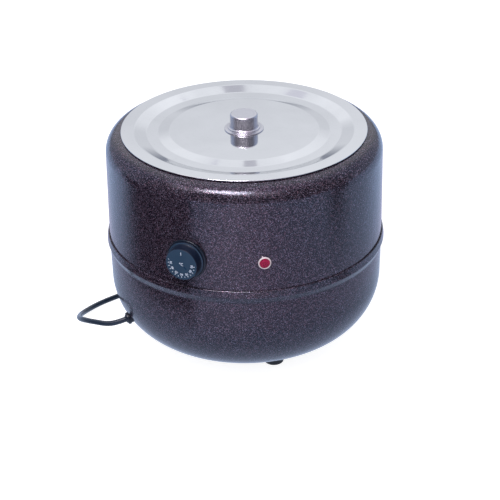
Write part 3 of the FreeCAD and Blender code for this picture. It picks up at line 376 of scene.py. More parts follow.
# Metals and plastics: colour, roughness where untouched and where handled, marks per metre, their relief
metals = {
    "turnedSteel": ((0.66, 0.66, 0.71, 1), (0.28, 0.38), 1900.0, 0.25),
    "potSteel": ((0.62, 0.62, 0.64, 1), (0.25, 0.31), 900.0, 0.12),
    "zincSteel": ((0.5, 0.51, 0.54, 1), (0.3, 0.5), 1300.0, 0.15),
    "elementSteel": ((0.22, 0.19, 0.17, 1), (0.4, 0.6), 500.0, 0.1),
    "copper": ((0.7, 0.32, 0.18, 1), (0.25, 0.45), 800.0, 0.1),
    "pinBrass": ((0.66, 0.56, 0.34, 1), (0.2, 0.35), 1200.0, 0.12),
}
plastics = {
    "blackPlastic": ((0.006, 0.011, 0.022, 1), (0.2, 0.36), 1300.0, 0.12),
    "bezelPlastic": ((0.72, 0.62, 0.64, 1), (0.25, 0.4), 1500.0, 0.08),
    "lampPlastic": ((0.7, 0.69, 0.64, 1), (0.35, 0.5), 1200.0, 0.1),
    "moulding": ((0.09, 0.065, 0.05, 1), (0.4, 0.6), 900.0, 0.2),
    "footRubber": ((0.010, 0.011, 0.014, 1), (0.55, 0.75), 700.0, 0.3),
    "cordRubber": ((0.009, 0.019, 0.036, 1), (0.2, 0.32), 1100.0, 0.1),
    "sealRubber": ((0.4, 0.4, 0.38, 1), (0.5, 0.65), 900.0, 0.15),
    "wireSleeve": ((0.36, 0.34, 0.28, 1), (0.5, 0.7), 1500.0, 0.2),
    "tieFabric": ((0.02, 0.02, 0.024, 1), (0.8, 0.95), 500.0, 0.7),
    "whitePrint": ((0.66, 0.76, 0.9, 1), (0.45, 0.6), 1500.0, 0.05),
}
makeLacquer()
makeMirrorSteel()
makeDialPlastic()
makeLens()
makeWool()
for name, values in metals.items():
    makeTurnedSteel(name, *values)
for name, values in plastics.items():
    makePlastic(name, *values)
print(len(finishes), "materials made")

# CAD nodes that are shown as they are: a finish for each
nodeFinish = {
    "zincSteel": ["lid_knob_washer", "lid_knob_screw", "thermostat_shaft", "thermostat_screws", "foot_screws",
                  "foot_nuts", "centre_stud", "element_clamp", "clamp_nut", "heat_shield", "shield_nuts",
                  "base_washer", "base_nut", "bulb_clip"],
    "elementSteel": ["heating_element"],
    "copper": ["capillary_bulb"],
    "pinBrass": ["terminal_screws", "earth_stud", "earth_nut", "plug_pins"],
    "blackPlastic": ["gland_nut", "plug_body"],
    "lampPlastic": ["pilot_lamp_body", "pilot_nut", "terminal_block"],
    "moulding": ["thermostat_body", "overheat_cutout"],
    "footRubber": ["foot_front_right", "foot_rear_right", "foot_rear_left", "foot_front_left"],
    "cordRubber": ["cord_lead_in"],
    "sealRubber": ["well_gasket"],
    "wireSleeve": ["internal_wires"],
    "tieFabric": ["cord_tie"],
    "mineralWool": ["insulation_sleeve"],
}
for finish, members in nodeFinish.items():
    for member in members:
        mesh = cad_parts[member].data
        mesh.materials.clear()
        mesh.materials.append(finishes[finish])


# Mesh helpers, in millimetres

def arcLine(centre, radius, start, end, step=4):
    # points on a circle from one angle to another, in degrees
    count = max(2, ceil(abs(end - start) / step))
    angles = np.radians(np.linspace(start, end, count + 1))
    return [(centre[0] + radius * cos(a), centre[1] + radius * sin(a)) for a in angles]


def roundedLine(points, closed=False):
    # Points are (x, y) or (x, y, radius). A corner with a radius becomes a tangent arc of short chords, with
    # a support point just beside each end, so that the shading of straight runs stays flat.
    chord, support = radians(7), 0.12
    line = [(*point, 0.0)[:3] for point in points]
    count, path = len(line), []
    for number, (x, y, radius) in enumerate(line):
        here = np.array((x, y))
        if radius <= 0 or (not closed and number in (0, count - 1)):
            path.append(here)
            continue
        before = np.array(line[number - 1][:2]) - here
        after = np.array(line[(number + 1) % count][:2]) - here
        before, after = before / np.linalg.norm(before), after / np.linalg.norm(after)
        half = acos(np.clip(before @ after, -1, 1)) / 2
        reach = radius / tan(half)
        bisector = (before + after) / np.linalg.norm(before + after)
        centre = here + bisector * radius / sin(half)
        start, end = here + before * reach - centre, here + after * reach - centre
        sweep = pi - 2 * half
        steps = max(3, ceil(sweep / chord))
        share = np.linspace(0, 1, steps + 1)[:, None]
        arc = (np.sin((1 - share) * sweep) * start + np.sin(share * sweep) * end) / sin(sweep)
        path.append(here + before * (reach + support))
        path.extend(centre + arc)
        path.append(here + after * (reach + support))
    return np.array(path)


def seated(points, seat):
    # from millimetres along a seat's own axes to metres in the frame
    return points * mm @ np.array(seat.to_3x3()).T + np.array(seat.translation)


def linkMesh(name, places, faces, finish):
    mesh = bpy.data.meshes.new(name)
    mesh.from_pydata(places, [], faces)
    mesh.validate()
    mesh.materials.append(finishes[finish])
    piece = bpy.data.objects.new(name, mesh)
    scene.collection.objects.link(piece)
    return piece


def meshObject(name, places, faces, finish, body, replaced=None):
    # a smooth piece from places in metres, that rides on a body
    piece = linkMesh(name, places.tolist(), faces, finish)
    mesh = piece.data
    work = bmesh.new()
    work.from_mesh(mesh)
    bmesh.ops.remove_doubles(work, verts=work.verts, dist=1e-7)
    bmesh.ops.recalc_face_normals(work, faces=work.faces)
    work.to_mesh(mesh)
    work.free()
    mesh.shade_smooth()
    mesh.update()
    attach(piece, body)
    if replaced:
        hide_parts(replaced)


def gridFaces(rows, columns, wrapRows, wrapColumns):
    # quads of a grid whose vertices are numbered row by row
    rowIds = np.arange(rows if wrapRows else rows - 1)
    columnIds = np.arange(columns if wrapColumns else columns - 1)
    r, c = np.meshgrid(rowIds, columnIds, indexing="ij")
    nextR, nextC = (r + 1) % rows, (c + 1) % columns
    quads = np.stack([r * columns + c, nextR * columns + c, nextR * columns + nextC, r * columns + nextC], -1)
    return quads.reshape(-1, 4).tolist()


def turnedPiece(name, profile, steps, finish, body, replaced, seat=Matrix(), ripple=None):
    # Surface of revolution: (r cos a, r sin a, z) for each profile point (r, z) and each angle a, closed
    # unless both ends of the profile are on the axis. The seat puts it in the frame.
    profile = np.asarray(profile)
    closed = profile[0, 0] > 0 and profile[-1, 0] > 0
    angles = (np.arange(steps) * 2 * pi / steps)[:, None]
    radius, height = np.repeat(profile.T[:, None], steps, 1)
    if ripple:
        height = ripple(angles, radius, height)
    grid = np.stack([radius * np.cos(angles), radius * np.sin(angles), height], -1).reshape(-1, 3)
    meshObject(name, seated(grid, seat), gridFaces(steps, len(profile), True, closed),
               finish, body, replaced)


def seatFacing(azimuth, radius, height, dip=0.0):
    # local Z points outwards at an azimuth counted from -Y towards +X, local X to the viewer's right
    a, d = radians(azimuth), radians(dip)
    outward = Vector((sin(a) * cos(d), -cos(a) * cos(d), -sin(d)))
    side = Vector((cos(a), sin(a), 0))
    upward = outward.cross(side)
    turn = Matrix((side, upward, outward)).transposed().to_4x4()
    foot = Vector((sin(a) * radius, -cos(a) * radius, height)) * mm
    return Matrix.Translation(foot) @ turn


# Shells

casing = {
    "radius": 175.0, "flare": 1.1, "wall": 1.2, "top": 290.0, "shoulder": 24.0, "ledge": 2.6, "mouth": 146.0,
    "hem": 7.4, "edge": 0.35, "seam": 155.0, "overlap": 12.5, "play": 0.2, "lipFlare": 1.8, "band": 8.6,
    "lean": 1.4, "step": 8.0, "stepFlare": 0.7, "lower": 175.3, "corner": 80.0, "floor": 16.0,
    "studHole": 3.2,
}


def upperShell():
    # the skirt at the seam, a wall that leans in, the rolled shoulder, the lid's ledge, its hem, and back
    c = casing
    wall, seam, mouth, skirt = c["wall"], c["seam"], c["mouth"], c["radius"] + c["flare"]
    x, z = centre = (c["radius"] - c["shoulder"], c["top"] - c["shoulder"])
    ledge, rise = c["top"] - c["ledge"], z - seam
    profile = [
        (skirt - wall, seam - c["overlap"]),
        (skirt, seam - c["overlap"]),
        (skirt, seam),
        *[(skirt - c["flare"] * share, seam + rise * share) for share in (0.03, 0.33, 0.66, 0.97)],
        *arcLine(centre, c["shoulder"], 0, 89),
        *roundedLine([
            (x + 0.3, c["top"]),
            (x, c["top"], 0.25),
            (x, ledge, c["edge"]),
            (mouth, ledge, c["edge"]),
            (mouth, ledge - c["hem"]),
            (mouth + wall, ledge - c["hem"]),
            (mouth + wall, ledge - wall),
            (x + wall, ledge - wall),
        ]),
        *arcLine(centre, c["shoulder"] - wall, 87, 0),
        (skirt - wall, seam),
    ]
    turnedPiece("upperShell", profile, 300, "hammeredLacquer", "casing", "upper_shell")


def lowerShell():
    # a band stands proud of the upper shell and leans back in to meet it
    c = casing
    wall, seam, floor, lower, corner = c["wall"], c["seam"], c["floor"], c["lower"], c["corner"]
    inner = c["radius"] + c["flare"] + c["play"]
    lip, band = inner + wall + c["lipFlare"], seam - c["band"]
    stepX, stepZ, top = lower + c["stepFlare"], band - c["step"], lip - c["lean"]
    x, z = centre = (lower - corner, floor + corner)
    rise = [(lower + c["stepFlare"] * share, z + (stepZ - z) * share) for share in (0.05, 0.4, 0.75)]
    profile = [
        (c["studHole"], floor + wall),
        (c["studHole"], floor),
        (c["studHole"] + 1, floor),
        (x * 0.5, floor),
        *arcLine(centre, corner, -90, -1, 3),
        *rise[:2],
        *roundedLine([
            rise[2],
            (stepX, stepZ, 7.0),
            (lip, band, 3.0),
            (top, seam - 0.5, 0.7),
            (top - 0.5, seam, 0.3),
            (inner, seam, 0.25),
            (inner, seam - wall),
            (top - wall, seam - wall),
            (lip - wall, band, 2.0),
            (stepX - wall, stepZ, 6.0),
            (lower - wall, z + 5),
        ]),
        *arcLine(centre, corner - wall, 0, -90, 3),
    ]
    turnedPiece("lowerShell", profile, 300, "hammeredLacquer", "casing", "lower_shell")


upperShell()
lowerShell()
print("shells made")

# Lid

lidShape = {
    "rim": 155.0, "rimInner": 138.0, "ringOuter": 123.0, "ringInner": 108.0, "middle": 94.5, "top": 292.2,
    "ringDepth": 4.6, "middleDepth": 2.0, "sheet": 0.8, "hem": 1.2, "hemWidth": 3.0, "hemRound": 0.504,
    "bend": 6.0, "hole": 2.7,
}


def makeLid():
    # from the hole outwards below, round the folded edge, and back inwards above
    s = lidShape
    middle, ring = s["top"] - s["middleDepth"], s["top"] - s["ringDepth"]
    bend, outerBend = s["bend"], s["bend"] + s["sheet"]
    above = [(s["middle"], middle, bend), (s["ringInner"], ring, bend),
             (s["ringOuter"], ring, outerBend), (s["rimInner"], s["top"], bend)]
    below = [(x, z - s["sheet"], corner) for x, z, corner in above]
    flat = (s["hole"], s["hole"] + 1, s["middle"] * 0.6)
    profile = roundedLine([
        *[(x, middle - s["sheet"]) for x in flat],
        *below,
        (s["rim"] - s["hemWidth"], s["top"] - s["sheet"]),
        (s["rim"] - s["hemWidth"], s["top"] - s["hem"]),
        (s["rim"], s["top"] - s["hem"], s["hemRound"]),
        (s["rim"], s["top"], s["hemRound"]),
        *reversed(above),
        *[(x, middle) for x in reversed(flat)],
    ], closed=True)
    turnedPiece("lidSheet", profile, 300, "mirrorSteel", "lid", "lid")


def makeKnob():
    # a spun cap with a stepped brim, and inside it the boss that the screw goes into
    s = {
        "cap": 17.5, "height": 20.7, "brim": 24.7, "wall": 1.2, "edge": 2.5,
        "boss": 6.0, "screw": 2.5, "tip": 8.0,
        "brimSteps": ((0, 0, 0.3), (0, 1.2, 0.5), (4.2, 1.7, 0.4), (4.5, 2.9, 0.3)),  # inwards, up, corner
        "root": (3.0, 2.2),  # up, corner
    }
    foot = lidShape["top"] - lidShape["middleDepth"]
    top = foot + s["height"]
    profile = [(0, top - s["tip"]), (s["screw"], top - s["tip"]), *roundedLine([
        (s["screw"], foot),
        (s["boss"], foot),
        (s["boss"], top - s["wall"]),
        (s["cap"] - s["wall"], top - s["wall"]),
        (s["cap"] - s["wall"], foot),
        *[(s["brim"] - inwards, foot + up, corner) for inwards, up, corner in s["brimSteps"]],
        (s["cap"], foot + s["root"][0], s["root"][1]),
        (s["cap"], top, s["edge"]),
        (0, top),
    ])]
    turnedPiece("lidKnob", profile, 160, "turnedSteel", "lid", "lid_knob")


makeLid()
makeKnob()
print("lid made")


# Dial: a turned cap, the fixed ring behind it, and the print on its face

dialShape = {
    "centre": 193.0, "face": 16.3, "radius": 20.4, "skirt": 23.3, "skirtHeight": 1.6, "back": 2.7,
    "shoulder": (0.7, 2.2, 1.2),  # outwards, up, corner
    "faceWall": 2.4, "sideWall": (2.2, 1.6), "hub": 6.0, "bore": 3.05, "boreDepth": 3.4,
}
wallTop = casing["top"] - casing["shoulder"]
dialWall = casing["radius"] + casing["flare"] * (wallTop - dialShape["centre"]) / (wallTop - casing["seam"])
dialSeat = seatFacing(0, dialWall, dialShape["centre"])


def makeDial():
    s = dialShape
    face, radius, back = s["face"], s["radius"], s["back"]
    outwards, up, corner = s["shoulder"]
    profile = [(0, face - s["boreDepth"]), *roundedLine([
        (s["bore"], face - s["boreDepth"]),
        (s["bore"], back + 0.5),
        (s["hub"], back + 0.5),
        (s["hub"], face - s["faceWall"]),
        (radius - s["sideWall"][0], face - s["faceWall"]),
        (radius - s["sideWall"][1], back),
        (s["skirt"], back, 0.3),
        (s["skirt"], back + s["skirtHeight"], 0.6),
        (radius + outwards, back + up, corner),
        (radius, face, 0.7),
        (0, face),
    ])]
    turnedPiece("dialCap", profile, 180, "dialPlastic", "dial", "control_dial", seat=dialSeat)


def makeDialBezel():
    # fixed ring behind the dial: flat in front, its back follows the round wall
    s = {"radius": 25.2, "bore": 8.0, "front": 2.3, "gap": 0.02}
    profile = roundedLine([
        (s["bore"], s["gap"]),
        (s["radius"], s["gap"]),
        (s["radius"], s["front"], 0.9),
        (s["bore"], s["front"], 0.2),
    ], closed=True)

    def followWall(angles, radius, height):
        # the back's points sink by x squared over twice the wall's radius
        sag = (radius * np.cos(angles)) ** 2 / (2 * dialWall)
        return np.where(height < 0.3, height - sag, height)

    turnedPiece("dialBezel", profile, 180, "blackPlastic", "casing", "dial_bezel",
                seat=dialSeat, ripple=followWall)


def printedText(words, height):
    # places in millimetres and faces of a flat short text, centred
    curve = bpy.data.curves.new("print", "FONT")
    curve.body = words
    curve.size = height * 1.38 * mm  # the letters are lower than the type's own size
    curve.align_x, curve.align_y = "CENTER", "CENTER"
    curve.offset = 0.045 * mm
    curve.resolution_u = 4
    sample = bpy.data.objects.new("print", curve)
    scene.collection.objects.link(sample)
    bpy.context.view_layer.update()
    mesh = bpy.data.meshes.new_from_object(sample.evaluated_get(bpy.context.evaluated_depsgraph_get()))
    places = np.empty(len(mesh.vertices) * 3)
    mesh.vertices.foreach_get("co", places)
    faces = [list(polygon.vertices) for polygon in mesh.polygons]
    bpy.data.objects.remove(sample)
    bpy.data.curves.remove(curve)
    bpy.data.meshes.remove(mesh)
    return places.reshape(-1, 3)[:, :2] / mm, faces


def printDial():
    # Clockwise from the top: a bar for off at 0 degrees, the numbers from 90 on the right to 30 on the left
    s = {
        "bar": (16.4, 4.0, 0.8),  # outer radius, length, width, as in the ticks
        "tick": (17.7, 1.9, 0.75), "halfTick": (17.7, 1.9, 0.6), "endTick": (17.4, 1.2, 0.75),
        "numbers": range(30, 100, 10), "firstAngle": 270, "spread": 30, "endAngle": 285,
        "numberRadius": 13.4, "numberHeight": 2.9, "unitHeight": 3.6, "lift": 0.06,
    }
    parts, faces = [], []

    def add(points, polygons, angle):
        # turned clockwise by the angle: (x cos + y sin, y cos - x sin)
        c, si = cos(radians(angle)), sin(radians(angle))
        first = sum(len(part) for part in parts)
        parts.append(np.asarray(points) @ np.array(((c, -si), (si, c))))
        faces.extend([[first + index for index in polygon] for polygon in polygons])

    def tick(angle, outer, length, width):
        half, low = width / 2, outer - length
        add([(-half, low), (half, low), (half, outer), (-half, outer)], [[0, 1, 2, 3]], angle)

    tick(0, *s["bar"])
    for step, number in enumerate(s["numbers"]):
        angle = s["firstAngle"] - step * s["spread"]
        tick(angle, *s["tick"])
        if step > 0:
            tick(angle + s["spread"] / 2, *s["halfTick"])
        points, polygons = printedText(str(number), s["numberHeight"])
        add(points + (0, s["numberRadius"]), polygons, angle)
    tick(s["endAngle"], *s["endTick"])
    add(*printedText("\u00b0C", s["unitHeight"]), 0)
    flat = np.concatenate(parts)
    level = np.full(len(flat), dialShape["face"] + s["lift"])
    places = seated(np.column_stack([flat, level]), dialSeat)
    meshObject("dialPrint", places, faces, "whitePrint", "dial")


makeDial()
makeDialBezel()
printDial()
print("dial made")

# Pilot lamp: ring with a nib, and a domed lens

lampShape = {
    "azimuth": 30.9, "ring": 7.8, "lens": 6.45, "sleeve": 6.6, "tube": 5.95, "height": 2.0, "dome": 1.3,
    "reach": 6.0, "lensReach": 5.5, "play": 0.1,
}
lampSeat = seatFacing(lampShape["azimuth"], dialWall, dialShape["centre"])


def makeLampRing():
    s = lampShape
    profile = roundedLine([
        (s["tube"], -s["reach"]),
        (s["sleeve"], -s["reach"]),
        (s["sleeve"], 0.15),
        (s["ring"], 0.15),
        (s["ring"], s["height"], 0.8),
        (s["lens"] + 0.05, s["height"], 0.25),
        (s["lens"] + 0.05, 1.3),
        (s["tube"], 0.9),
    ], closed=True)
    turnedPiece("lampRing", profile, 96, "bezelPlastic", "casing", "pilot_bezel",
                seat=lampSeat)


def makeLampNib():
    # a small locating nib at the ring's top left: an ellipse (w cos t, l sin t) at three levels
    s = {"turn": radians(107), "out": 0.7, "level": 0.85, "width": 0.85, "length": 1.1,
         "levels": (-0.7, 0.4, 0.75), "shares": (1.0, 1.0, 0.7), "sides": 12}
    a, sides = s["turn"], s["sides"]
    out, across = np.array((cos(a), sin(a), 0)), np.array((-sin(a), cos(a), 0))
    t = (np.arange(sides) * 2 * pi / sides)[:, None]
    ellipse = np.cos(t) * across * s["width"] + np.sin(t) * out * s["length"]
    grid = np.array(s["shares"])[:, None, None] * ellipse[None]
    grid[:, :, 2] += np.array(s["levels"])[:, None] + s["level"]
    grid = grid.reshape(-1, 3) + out * (lampShape["ring"] + s["out"])
    last = len(grid) - sides
    faces = [tuple(reversed(range(sides))), tuple(range(last, last + sides))]
    faces.extend(gridFaces(len(s["levels"]), sides, False, True))
    meshObject("lampNib", seated(grid, lampSeat), faces, "bezelPlastic", "casing")


def makeLampLens():
    s = lampShape
    rim, edge, tube = s["height"] - 0.45, s["lens"] - 0.03, s["tube"] - s["play"]
    angles = [radians(degrees) for degrees in range(5, 90, 7)]
    profile = [
        (0, -s["lensReach"]),
        (tube, -s["lensReach"]),
        (tube, 0.85),
        (edge, 1.35),
        (edge, rim),
        *[(s["lens"] * cos(a), rim + s["dome"] * sin(a)) for a in angles],
        (0, rim + s["dome"]),
    ]
    turnedPiece("lampLens", profile, 96, "redLens", "casing", "pilot_lens", seat=lampSeat)


makeLampRing()
makeLampNib()
makeLampLens()
print("lamp made")

# Soup pot and the tank that it hangs in

vessels = {
    "seat": 289.0,
    "potRadius": 136.6, "potBottom": 100.0, "potCorner": 20.0, "potSheet": 1.0, "bend": 3.0,
    "rim": 150.1, "beadHeight": 2.4, "beadWidth": 3.0,
    "wellRadius": 141.0, "wellBottom": 88.0, "wellCorner": 12.0, "wellSheet": 0.8, "flange": 150.5,
    "straight": 30.0,  # length of wall below the seat that gets a row of its own
}


def makePot():
    # outside from the bottom up, over the bend and the rolled bead, and down inside
    v = vessels
    sheet, corner, seat, bottom = v["potSheet"], v["potCorner"], v["seat"], v["potBottom"]
    outer, bead = v["potRadius"] + sheet, v["rim"] - v["beadWidth"]
    centre = (outer - corner, bottom + corner)
    bendCentre = (v["potRadius"] + v["bend"], seat - v["bend"] + sheet)
    profile = [
        (0, bottom),
        (outer * 0.5, bottom),
        *arcLine(centre, corner, -90, 0, 6),
        (outer, seat - v["straight"]),
        (outer, seat - 2.2),
        *arcLine(bendCentre, v["bend"] - sheet, 178, 90, 15),
        *roundedLine([
            (v["rim"] - 4, seat),
            (v["rim"], seat, 0.5),
            (v["rim"], seat + v["beadHeight"], 1.0),
            (bead, seat + v["beadHeight"], 0.9),
            (bead, seat + sheet, 0.3),
            (bead - 2, seat + sheet),
        ]),
        *arcLine(bendCentre, v["bend"], 90, 180, 15),
        (v["potRadius"], seat - v["straight"]),
        *arcLine(centre, corner - sheet, 0, -90, 6),
        (outer * 0.5, bottom + sheet),
        (0, bottom + sheet),
    ]
    turnedPiece("soupPot", profile, 260, "potSteel", "pot", "inner_pot")


def makeWell():
    # outside from the bottom up, round the flange, and down inside
    v = vessels
    sheet, corner, seat, bottom = v["wellSheet"], v["wellCorner"], v["seat"], v["wellBottom"]
    outer = v["wellRadius"] + sheet
    centre = (outer - corner, bottom + corner)
    profile = [
        (0, bottom),
        (outer * 0.5, bottom),
        *arcLine(centre, corner, -90, 0, 7),
        *roundedLine([
            (outer, seat - v["straight"]),
            (outer, seat - sheet, 0.4),
            (v["flange"], seat - sheet, 0.3),
            (v["flange"], seat, 0.3),
            (v["wellRadius"], seat, 1.0),
            (v["wellRadius"], seat - v["straight"]),
        ]),
        *arcLine(centre, corner - sheet, 0, -90, 7),
        (outer * 0.5, bottom + sheet),
        (0, bottom + sheet),
    ]
    turnedPiece("waterTank", profile, 260, "potSteel", "casing", "water_well")


makePot()
makeWell()
print("pot and tank made")


# Mains lead: the same route as the CAD tube, in metres, as the control points of a smooth curve

cordFacts = {
    "radius": 3.5 * mm,
    "coilCentre": (-0.1188, 0.2209),
    "coilRadii": (34.5 * mm, 41.5 * mm),
    "layers": (3.6 * mm, 10.6 * mm, 17.6 * mm),
    "lastLift": 7.2 * mm,
    "pointsPerTurn": 24,
    "startAngle": radians(-150.7),
    "turns": 5.2,
}
glandSeat = seatFacing(-56.3, 0, 0, 18.0)
glandFoot = Vector((-0.112549, -0.118187, 0.0537))
glandOut = glandSeat.to_3x3() @ Vector((0, 0, 1))
cordExit = glandFoot + glandOut * 6 * mm


def makeGland():
    # thick rounded flange and a short collar round the lead
    s = {"back": -14.0, "thread": 5.9, "neckBack": -5.0, "neck": 7.0, "flange": 8.0, "flangeFront": 5.2,
         "collar": 5.0, "front": 6.7, "play": 0.05}
    bore = cordFacts["radius"] / mm + s["play"]
    profile = roundedLine([
        (bore, s["back"]),
        (s["thread"], s["back"]),
        (s["thread"], s["neckBack"]),
        (s["neck"], s["neckBack"]),
        (s["neck"], 0.9, 0.4),
        (s["flange"], 1.3, 0.7),
        (s["flange"], s["flangeFront"], 1.9),
        (s["collar"] + 0.4, s["flangeFront"] + 0.3, 0.8),
        (s["collar"], s["front"], 0.4),
        (bore, s["front"], 0.3),
    ], closed=True)
    turnedPiece("glandFlange", profile, 96, "blackPlastic", "casing", "cord_gland",
                seat=Matrix.Translation(glandFoot) @ glandSeat)


def coilPoints():
    # each turn keeps its slot and changes it in the last part of a turn, so that no two changes cross
    f = cordFacts
    inner, outer = f["coilRadii"]
    low, mid, high = f["layers"]
    last = high + f["lastLift"]
    scale = 2 / (1 + cos(pi / f["pointsPerTurn"]))  # the curve runs inside its control points
    t = np.arange(2, f["turns"] * f["pointsPerTurn"]) / f["pointsPerTurn"]
    radius = np.interp(t, [0.80, 1.0, 2.52, 2.70, 4.07, 4.25, 5.02, 5.2],
                       [outer, inner, inner, outer, outer, inner, inner, outer])
    height = np.interp(t, [1.68, 1.85, 3.38, 3.55, 5.0, 5.1, 5.2], [low, mid, mid, high, high, last, last])
    angle = f["startAngle"] - 2 * pi * t
    x = f["coilCentre"][0] + radius * scale * np.cos(angle)
    y = f["coilCentre"][1] + radius * scale * np.sin(angle)
    return [Vector(point) for point in zip(x, y, height)]


cordRoute = [
    cordExit,
    cordExit + glandOut * 14 * mm,
    (-0.1416, -0.1324, 0.0452),
    (-0.1554, -0.1319, 0.0442),
    (-0.1685, -0.1290, 0.0416),
    (-0.1820, -0.1215, 0.0365),
    (-0.1947, -0.1089, 0.0285),
    (-0.2048, -0.0920, 0.0200),
    (-0.2118, -0.0722, 0.0120),
    (-0.2139, -0.0502, 0.0060),
    (-0.2096, -0.0276, 0.0037),
    (-0.1991, -0.0066, 0.0036),
    (-0.1855, 0.0169, 0.0036),
    (-0.1714, 0.0471, 0.0036),
    (-0.1607, 0.0824, 0.0036),
    (-0.1553, 0.1251, 0.0036),
    (-0.1525, 0.1671, 0.0036),
    *coilPoints(),
    (-0.1225, 0.2645, 0.0235),
    (-0.1160, 0.2655, 0.0190),
]


def makeCord():
    curve = bpy.data.curves.new("mainsLead", "CURVE")
    curve.dimensions = "3D"
    curve.bevel_depth = cordFacts["radius"]
    curve.bevel_resolution = 7
    curve.use_fill_caps = True
    curve.resolution_u = 8
    spline = curve.splines.new("NURBS")
    spline.points.add(len(cordRoute) - 1)
    for point, place in zip(spline.points, cordRoute):
        point.co = (*place, 1)
    spline.order_u = 3
    spline.use_endpoint_u = True
    curve.materials.append(finishes["cordRubber"])
    lead = bpy.data.objects.new("mainsLead", curve)
    scene.collection.objects.link(lead)
    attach(lead, "casing")
    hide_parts("mains_cord", "cord_coil")
    return lead


makeGland()
mainsLead = makeCord()
print("lead made")


# Stage: white floor and world, cards that only gloss sees, and soft lamps

def seenRays(tree):
    # 1 for what the camera sees, also through something clear, and 1 for what gloss sees
    rays = addNode(tree, "ShaderNodeLightPath").outputs
    return calc(tree, "MAXIMUM", rays["Is Camera Ray"], rays["Is Transmission Ray"]), rays["Is Glossy Ray"]


def mixShaders(tree, factor, first, second):
    return addNode(tree, "ShaderNodeMixShader", {0: factor, 1: first.outputs[0], 2: second.outputs[0]})


def lineSide(tree, place, start, heading, blur):
    # 0 to 1 across a line on the floor: start in the photo's metres, heading from the viewer in degrees
    across = fromPhoto(cos(radians(heading)), sin(radians(heading)), 0)
    shift = across.dot(fromPhoto(*start, 0))
    return remap(tree, lengthAlong(tree, place, across), shift - blur, shift + blur)


def makeFloor():
    # The casing mirrors the floor: bright in front, bluer at the sides, two dim wedges between them, and a
    # painted shadow round the body
    look = {
        "size": 6.0, "matt": (0.5, 0.51, 0.55, 1), "seen": (1, 1, 1, 1), "seenStrength": 0.9,
        "front": (0.74, 0.66, 0.92, 1),
        "far": ((1.12, 0.98, 1.12, 1), 0.7, 1.1),  # colour, and the distances between which it comes in
        "strip": (1.2, 1.1, 1.42, 1), "stripShare": 0.8,
        "sides": (0.56, 0.69, 0.95, 1), "aside": (0.12, 0.5), "near": (0.42, 0.28),
        "edges": (0.7, 0.9, 1.3, 1), "farAside": (0.25, 0.5), "behind": (-0.1, 0.3),
        # painted shadow: close to the body the mirrored floor turns bluer and dimmer than the far floor
        "under": ((0.62, 0.74, 1.0, 1), 0.30, 0.19),
        "dim": (0.02, 0.025, 0.05, 1), "leftFrom": (0.31, 0.37), "rightFrom": (0.45, 0.75, 0.0, 0.9),
    }
    bands = {  # each between two lines on the floor: start, heading, blur
        "left": (((-0.145, -0.105), -112, 0.10), ((-0.068, -0.162), -44, 0.012)),
        "right": (((0.102, -0.142), 73, 0.025), ((0.124, -0.121), 88, 0.03)),
        "strip": (((-0.062, -0.160), -30, 0.12), ((0.000, -0.175), 4, 0.10)),
    }
    tree = startMaterial("whiteFloor")
    seen, glossy = seenRays(tree)
    place = addNode(tree, "ShaderNodeTexCoord").outputs["Object"]
    away = wholeLength(tree, place)
    aside = calc(tree, "ABSOLUTE", lengthAlong(tree, place, fromPhoto(1, 0, 0)))
    behind = lengthAlong(tree, place, fromPhoto(0, 1, 0))

    def band(name, share):
        first, last = (lineSide(tree, place, *line) for line in bands[name])
        return times(tree, times(tree, first, calc(tree, "SUBTRACT", 1.0, last)), share)

    left = band("left", remap(tree, away, *look["leftFrom"]))
    right = band("right", remap(tree, away, *look["rightFrom"]))
    bluer = calc(tree, "MAXIMUM", remap(tree, aside, *look["aside"]), remap(tree, away, *look["near"]))
    edges = times(tree, remap(tree, aside, *look["farAside"]), remap(tree, behind, *look["behind"]))
    mirrored = layColour(tree, look["front"], away, *look["far"])
    mirrored = mixColours(tree, band("strip", look["stripShare"]), mirrored, look["strip"])
    mirrored = mixColours(tree, bluer, mirrored, look["sides"])
    mirrored = mixColours(tree, edges, mirrored, look["edges"])
    # painted shadow of the body on the floor, seen only in reflections
    mirrored = layColour(tree, mirrored, away, *look["under"])
    mirrored = mixColours(tree, calc(tree, "ADD", left, right, clamp=True), mirrored, look["dim"])
    matt = addNode(tree, "ShaderNodeBsdfDiffuse", {"Color": look["matt"]})
    white = addNode(tree, "ShaderNodeEmission", {"Color": look["seen"], "Strength": look["seenStrength"]})
    glow = addNode(tree, "ShaderNodeEmission", {"Color": mirrored})
    lit = addNode(tree, "ShaderNodeAddShader", {0: matt.outputs[0], 1: white.outputs[0]})
    above = mixShaders(tree, glossy, mixShaders(tree, seen, matt, lit), glow)
    below = addNode(tree, "ShaderNodeNewGeometry").outputs["Backfacing"]
    whole = mixShaders(tree, below, above, addNode(tree, "ShaderNodeBsdfTransparent"))
    addNode(tree, "ShaderNodeOutputMaterial", {"Surface": whole.outputs[0]})
    corners = [(x * look["size"], y * look["size"], 0) for x, y in ((-1, -1), (1, -1), (1, 1), (-1, 1))]
    linkMesh("floor", corners, [(0, 1, 2, 3)], "whiteFloor")


